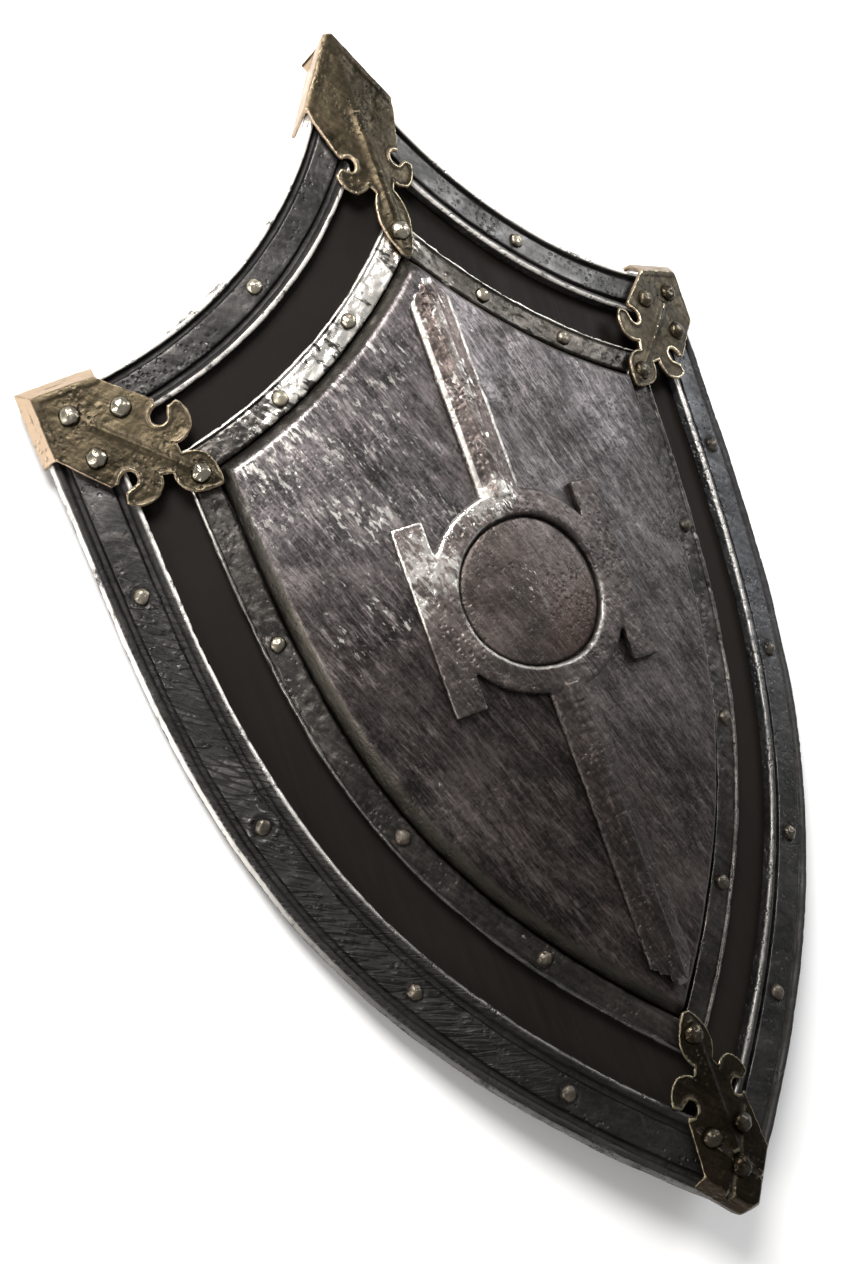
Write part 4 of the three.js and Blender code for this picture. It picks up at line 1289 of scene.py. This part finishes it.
def make_cap(name, cap, material):
    """Plate, claws, beads and skirt under one skin, with the ridge and grooves worked into it."""
    half = cap_half(cap)
    outline = half + [(p, -q) for p, q in reversed(half[1:-1])]
    shells = [slab(outline, CAP_BOTTOM, CAP_FACE - 0.4), skirt_shell(cap)]
    claw_start = len(cap["body"])
    claw_end = claw_start + CLAW_POINTS
    for sign in (1, -1):
        claw = [(p, sign * q) for p, q in half[claw_start:claw_end + 1]]
        shells.append(wire(claw, CLAW_BEAD, CAP_FACE - CLAW_BEAD_SINK))
        tongue = [(p, sign * q) for p, q in half[claw_end - 1:]]
        shells.append(wire(tongue, TONGUE_BEAD, CAP_FACE - TONGUE_BEAD_SINK))
    x = cap["body"][-1][0]
    spine = (x - 24, 0), (cap["tip"] - 6, 0)
    mesh = remeshed(shells, 0.62, 2)

    def relief(p):
        shift = grain(p, 11, 3, 51) * 0.3 + grain(p, 3, 2, 52) * 0.08
        local = p[:, :2]
        shift = shift + RIDGE_HEIGHT * hump(to_segment(local, *spine), 0.0, RIDGE_WIDTH)
        for a, b in cap["grooves"]:
            shift = shift - GROOVE_DEPTH * (1 - ease(0.4, 2.0, to_segment(local, a, b)))
        return shift * (p[:, 2] > CAP_BOTTOM)

    co, normals = coordinates(mesh), vertex_normals(mesh)
    co = co + normals * relief(co)[:, None]
    mesh.vertices.foreach_set("co", cap_place(cap, co).ravel())
    mesh.update()
    finish_piece(mesh, f"cap_{name}_brass", [f"cap_{name}"], material,
                 (2, 0.4, 0.25, 6.0))


class SHIELD_OT_caps(bpy.types.Operator):
    """Add the four brass corner caps with their skirts, claws and tongues"""

    bl_idname = "shield.caps"
    bl_label = "Corner caps"

    def execute(self, context):
        looks, _ = looks_and_sizes()
        brass = tuple(looks.brass_color)
        material = metal_material("aged brass", {
            "dark": tone(brass, 0.35), "light": tone(brass, 1.1), "mottle": 22.0,
            "rubbed_and_sheen": tone(brass, 1.9, 0.05), "worn": (0.72, 0.62, 0.42),
            "grime_and_shade_color": (0.010, 0.008, 0.005), "strokes": 0.4, "cross": 0.3, "angle": 0.8,
            # Painted light and shade: edges are drawn brighter on the top and right caps, partly
            # as painted highlight; the bottom cap is darker, partly as painted shade; the side
            # walls of the left, top and right caps are painted light tan as painted highlight.
            "wear_and_painted_highlight": (0.25, [(0.0, 0.28, 0.08, 0.3), (0.21, 0.16, 0.07, 0.9)]),
            "rough": (0.3, 0.5), "flecks": 0.4, "edges": 0.9, "edge white": 0.5, "metal": 0.95,
            "tones_and_painted_light": [((0.32, 0.28, 0.26), 0.0, -0.33, 0.16, 0.9)],
            "wall": (0.05, [(-0.23, 0.18, 0.16, 1.2), (0.0, 0.33, 0.18, 1.2),
                            (0.23, 0.18, 0.14, 0.7)]),
            "painted wall light and shade": (0.47, 0.355, 0.25),
            "bump": 0.6, "dirt_and_shade": 0.9, "lump depth": 0.7,
        })
        for name, cap in CAPS.items():
            make_cap(name, cap, material)
        return {"FINISHED"}


# ---- rivets ----------------------------------------------------------------------------------

# Metres that the heads stand up, and millimetres that their feet are sunk in the face.
BAND_HEAD_HEIGHT, BAND_HEAD_SINK = 0.0036, 0.3
CAP_HEAD_HEIGHT, CAP_HEAD_SINK = 0.0044, 0.4


def heads_tree():
    """Domed rivet heads on points that carry their standing direction, each with its own wear."""
    tree = bpy.data.node_groups.new("rivet heads", "GeometryNodeTree")
    for label, kind, value in (
        ("Geometry", "NodeSocketGeometry", None), ("Radius", "NodeSocketFloat", 0.005),
        ("Height", "NodeSocketFloat", 0.0038), ("Wear", "NodeSocketFloat", 0.0006),
        ("Seed", "NodeSocketInt", 3), ("Material", "NodeSocketMaterial", None),
    ):
        socket = tree.interface.new_socket(name=label, in_out="INPUT", socket_type=kind)
        if value is not None:
            socket.default_value = value
    tree.interface.new_socket(name="Geometry", in_out="OUTPUT", socket_type="NodeSocketGeometry")
    n = Nodes(tree)
    given, result = n.put("NodeGroupInput").outputs, n.put("NodeGroupOutput").inputs

    ball = n.put("GeometryNodeMeshUVSphere", None, Segments=20, Rings=14, Radius=1.0)
    position = n.put("GeometryNodeInputPosition").outputs[0]
    # The head is marked worn from its foot to its top, so each top takes the bright colour: worn
    # metal and a painted highlight.
    height = n.put("ShaderNodeSeparateXYZ", None, Vector=position).outputs[2]
    lift = n.put("ShaderNodeMapRange")
    for i, item in enumerate((height, -0.2, 1.0, 0.0, 1.0)):
        n.feed(lift.inputs[i], item)
    marked = n.put("GeometryNodeStoreNamedAttribute", {"data_type": "FLOAT", "domain": "POINT"},
                   Geometry=ball.outputs["Mesh"], Name="worn", Value=lift.outputs[0])
    size = n.put("ShaderNodeCombineXYZ", None, X=given["Radius"], Y=given["Radius"],
                 Z=given["Height"])
    head = n.put("GeometryNodeTransform", None, Geometry=marked.outputs[0], Scale=size.outputs[0])

    stand = n.put("GeometryNodeInputNamedAttribute", {"data_type": "FLOAT_VECTOR"}, Name="stand")
    upright = n.put("FunctionNodeAlignRotationToVector", {"axis": "Z"},
                    Vector=stand.outputs[0])
    spin = n.put("FunctionNodeRandomValue", {"data_type": "FLOAT"})
    for socket in spin.inputs:
        if socket.name == "Max" and socket.type == "VALUE":
            socket.default_value = math.tau
    n.feed(spin.inputs["Seed"], given["Seed"])
    about = n.put("FunctionNodeAxisAngleToRotation", None, Axis=(0.0, 0.0, 1.0))
    n.feed(about.inputs["Angle"], next(s for s in spin.outputs if s.type == "VALUE" and s.enabled))
    turned = n.put("FunctionNodeRotateRotation", {"rotation_space": "LOCAL"},
                   Rotation=upright.outputs[0])
    n.feed(turned.inputs[1], about.outputs[0])
    placed = n.put("GeometryNodeInstanceOnPoints", None, Points=given["Geometry"],
                   Instance=head.outputs[0], Rotation=turned.outputs[0])
    whole = n.put("GeometryNodeRealizeInstances", None, Geometry=placed.outputs[0])

    rough = n.put("ShaderNodeTexNoise", None, Vector=position, Scale=260.0, Detail=2.0)
    centred = n.put("ShaderNodeVectorMath", {"operation": "SUBTRACT"})
    n.feed(centred.inputs[0], rough.outputs["Color"])
    centred.inputs[1].default_value = (0.5, 0.5, 0.5)
    push = n.put("ShaderNodeVectorMath", {"operation": "SCALE"})
    n.feed(push.inputs[0], centred.outputs[0])
    n.feed(push.inputs["Scale"], n.times(given["Wear"], 4.0))
    dented = n.put("GeometryNodeSetPosition", None, Geometry=whole.outputs[0],
                   Offset=push.outputs[0])
    smooth = n.put("GeometryNodeSetShadeSmooth", None, Geometry=dented.outputs[0])
    painted = n.put("GeometryNodeSetMaterial", None, Geometry=smooth.outputs[0],
                    Material=given["Material"])
    n.feed(result["Geometry"], painted.outputs[0])
    return tree


def set_inputs(modifier, **values):
    for item in modifier.node_group.interface.items_tree:
        if item.item_type == "SOCKET" and item.in_out == "INPUT" and item.name in values:
            modifier[item.identifier] = values[item.name]


def make_heads(name, nodes, places, height, radius, material, seed):
    """Rivet heads as one piece. places are (across, along, out) on the sheet."""
    places = np.array(places, float)
    base = bend(places)
    mesh = bpy.data.meshes.new(name)
    mesh.from_pydata(base.tolist(), [], [])
    store(mesh, "stand", (bend(places + np.array([0, 0, 1.0])) - base) / MM)
    piece = bpy.data.objects.new(name, mesh)
    bpy.context.scene.collection.objects.link(piece)
    heads = piece.modifiers.new("heads", "NODES")
    heads.node_group = bpy.data.node_groups.get("rivet heads") or heads_tree()
    set_inputs(heads, Radius=radius, Height=height, Seed=seed, Material=material)
    graph = bpy.context.evaluated_depsgraph_get()
    result = bpy.data.meshes.new_from_object(piece.evaluated_get(graph), depsgraph=graph)
    bpy.data.objects.remove(piece)
    if "worn" not in result.attributes:
        raise RuntimeError("the rivet heads lost their wear")
    add_piece(result, name, nodes, material)


class SHIELD_OT_rivets(bpy.types.Operator):
    """Add the domed rivet heads on the bands and on the caps"""

    bl_idname = "shield.rivets"
    bl_label = "Rivets"

    def execute(self, context):
        looks, sizes = looks_and_sizes()
        iron, brass = tuple(looks.iron_color), tuple(looks.brass_color)
        head_look = {
            "dark": tone(iron, 0.4, 0.1), "light": tone(iron, 1.7, 0.15), "mottle": 160.0,
            "rubbed_and_sheen": tone(iron, 3.4, 0.15), "worn": (0.60, 0.54, 0.42),
            "grime_and_shade_color": (0.012, 0.010, 0.008), "strokes": 0.5, "cross": 0.3, "rough": (0.3, 0.55),
            # Edges are drawn brighter on heads towards the top and upper left, partly as painted
            # highlight.
            "wear_and_painted_highlight": (0.1, [(-0.1, 0.2, 0.26, 0.7), (0.1, 0.28, 0.14, 0.6)]),
            "edges": 0.5, "edge white": 0.55, "flecks": 0.4, "bump": 0.8, "metal": 0.95,
        }
        iron_heads = metal_material("rivet iron", head_look)
        brass_look = dict(head_look)
        brass_look.update({"dark": tone(brass, 0.35), "light": tone(brass, 1.3),
                           "edge white": 0.3, "rough": (0.2, 0.4),
                           "rubbed_and_sheen": tone(brass, 2.4), "worn": (0.8, 0.74, 0.6),
                           # The bottom cap's heads are drawn darker, partly as painted shade.
                           "tones_and_painted_light": [((0.3, 0.26, 0.24), 0.0, -0.34, 0.2, 0.9)]})
        brass_heads = metal_material("rivet brass", brass_look)

        spread = {
            "outer": [("side", [side_place(OUTER_MIDDLE, v) for v in OUTER_SIDE_RIVETS]),
                      ("top", [top_place(OUTER_MIDDLE, s) for s in OUTER_TOP_RIVETS])],
            "inner": [("side", [side_place(INNER_MIDDLE, v) for v in INNER_SIDE_RIVETS]),
                      ("top", [top_place(INNER_MIDDLE, s) for s in INNER_TOP_RIVETS])],
        }
        for seed, (band, face) in enumerate((("outer", OUTER_FACE), ("inner", INNER_FACE)), 3):
            nodes, places = [], []
            for edge, spots in spread[band]:
                for i, (s, v) in enumerate(spots):
                    for side, sign in (("right", 1), ("left", -1)):
                        nodes.append(f"rivet_{band}_{edge}_{side}_{i + 1}")
                        places.append((sign * s, v, face - BAND_HEAD_SINK))
            make_heads(f"rivets_{band}_band", nodes, places, BAND_HEAD_HEIGHT,
                       sizes.band_rivet_radius, iron_heads, seed)
        nodes, places = [], []
        for name, cap in CAPS.items():
            for i, (p, q) in enumerate(cap["rivets"]):
                nodes.append(f"rivet_cap_{name}_{i + 1}")
                foot = np.array([[p, q, CAP_FACE - CAP_HEAD_SINK]], float)
                places.append(tuple(cap_place(cap, foot)[0]))
        make_heads("rivets_caps", nodes, places, CAP_HEAD_HEIGHT,
                   sizes.cap_rivet_radius, brass_heads, 5)
        return {"FINISHED"}


# ---- stage -----------------------------------------------------------------------------------

# In the shield's own frame, before it lies on the floor.
CAMERA_PLACE = (-0.5003, -0.0852, 0.7995)
CAMERA_LOOK = (0.4711, 0.0896, -0.8775)
CAMERA_UP = (0.2573, 0.9376, 0.2339)
CAMERA_LENS = 46.3
FLOOR = 40.0  # half its width, in metres


def add_light(name, place, aim, size, power, color=(1.0, 1.0, 1.0)):
    light = bpy.data.lights.new(name, "AREA")
    light.shape, light.size, light.size_y = "RECTANGLE", size[0], size[1]
    light.energy, light.color = power, color
    holder = bpy.data.objects.new(name, light)
    holder.location = place
    holder.rotation_euler = (Vector(aim) - Vector(place)).to_track_quat("-Z", "Y").to_euler()
    bpy.context.scene.collection.objects.link(holder)


class SHIELD_OT_stage(bpy.types.Operator):
    """Add the pale floor, the soft lights and the camera"""

    bl_idname = "shield.stage"
    bl_label = "Stage"

    def execute(self, context):
        scene = context.scene
        mesh = bpy.data.meshes.new("floor")
        corners = [(x * FLOOR, y * FLOOR, 0) for x, y in ((-1, -1), (1, -1), (1, 1), (-1, 1))]
        mesh.from_pydata(corners, [], [(0, 1, 2, 3)])
        material, n, shader = new_material("pale floor")
        place = n.put("ShaderNodeTexCoord").outputs["Object"]
        n.feed(shader.inputs["Base Color"],
               n.mix(n.noise(place, 30.0), (0.86, 0.86, 0.86), (0.88, 0.88, 0.88)))
        shader.inputs["Roughness"].default_value = 0.9
        mesh.materials.append(material)
        floor = bpy.data.objects.new("floor", mesh)
        scene.collection.objects.link(floor)

        world = bpy.data.worlds.new("studio")
        world.use_nodes = True
        world.node_tree.nodes["Background"].inputs["Color"].default_value = (1.0, 1.0, 1.0, 1.0)
        world.node_tree.nodes["Background"].inputs["Strength"].default_value = 0.38
        scene.world = world
        middle = (0.0, 0.0, 0.05)
        add_light("key", (-0.55, 1.3, 1.5), (0.0, 0.1, 0.05), (0.9, 0.9), 62.0, (1.0, 0.98, 0.96))
        add_light("side", (-2.0, -0.1, 0.7), middle, (0.6, 1.4), 26.0, (1.0, 0.97, 0.93))
        add_light("far", (2.2, 0.9, 1.4), middle, (1.0, 1.2), 30.0, (0.94, 0.97, 1.0))

        data = bpy.data.cameras.new("camera")
        data.lens, data.sensor_width, data.sensor_height = CAMERA_LENS, 36.0, 36.0
        data.sensor_fit = "AUTO"
        data.clip_start, data.clip_end = 0.01, 200.0
        camera = bpy.data.objects.new("camera", data)
        look, up = (Vector(TURN @ np.array(v)).normalized() for v in (CAMERA_LOOK, CAMERA_UP))
        right = look.cross(up).normalized()
        up = right.cross(look)
        turn = Matrix((right, up, -look)).transposed().to_4x4()
        place = Vector(TURN @ np.array(CAMERA_PLACE) + OFFSET)
        camera.matrix_world = Matrix.Translation(place) @ turn
        scene.collection.objects.link(camera)
        scene.camera = camera
        scene.view_settings.view_transform = "Standard"
        return {"FINISHED"}


class SHIELD_PT_panel(bpy.types.Panel):
    """Sizes, colours and pieces of the shield"""

    bl_idname = "SHIELD_PT_panel"
    bl_label = "Heater Shield"
    bl_space_type = "VIEW_3D"
    bl_region_type = "UI"
    bl_category = "Shield"

    def draw(self, context):
        scene = context.scene
        for settings in (scene.shield_looks, scene.shield_sizes):
            box = self.layout.box()
            for name in settings.__annotations__:
                box.prop(settings, name)
        for operator in OPERATORS:
            self.layout.operator(operator.bl_idname)


OPERATORS = (SHIELD_OT_board, SHIELD_OT_bands, SHIELD_OT_plate, SHIELD_OT_cross, SHIELD_OT_caps,
             SHIELD_OT_rivets, SHIELD_OT_stage)
CLASSES = (ShieldLooks, ShieldSizes, *OPERATORS, SHIELD_PT_panel)


def register():
    for cls in CLASSES:
        bpy.utils.register_class(cls)
    bpy.types.Scene.shield_looks = bpy.props.PointerProperty(type=ShieldLooks)
    bpy.types.Scene.shield_sizes = bpy.props.PointerProperty(type=ShieldSizes)


def unregister():
    del bpy.types.Scene.shield_sizes
    del bpy.types.Scene.shield_looks
    for cls in reversed(CLASSES):
        bpy.utils.unregister_class(cls)


def main():
    register()
    bpy.ops.shield.board()
    bpy.ops.shield.bands()
    bpy.ops.shield.plate()
    bpy.ops.shield.cross()
    bpy.ops.shield.caps()
    bpy.ops.shield.rivets()
    bpy.ops.shield.stage()


if __name__ == "__main__":
    main()
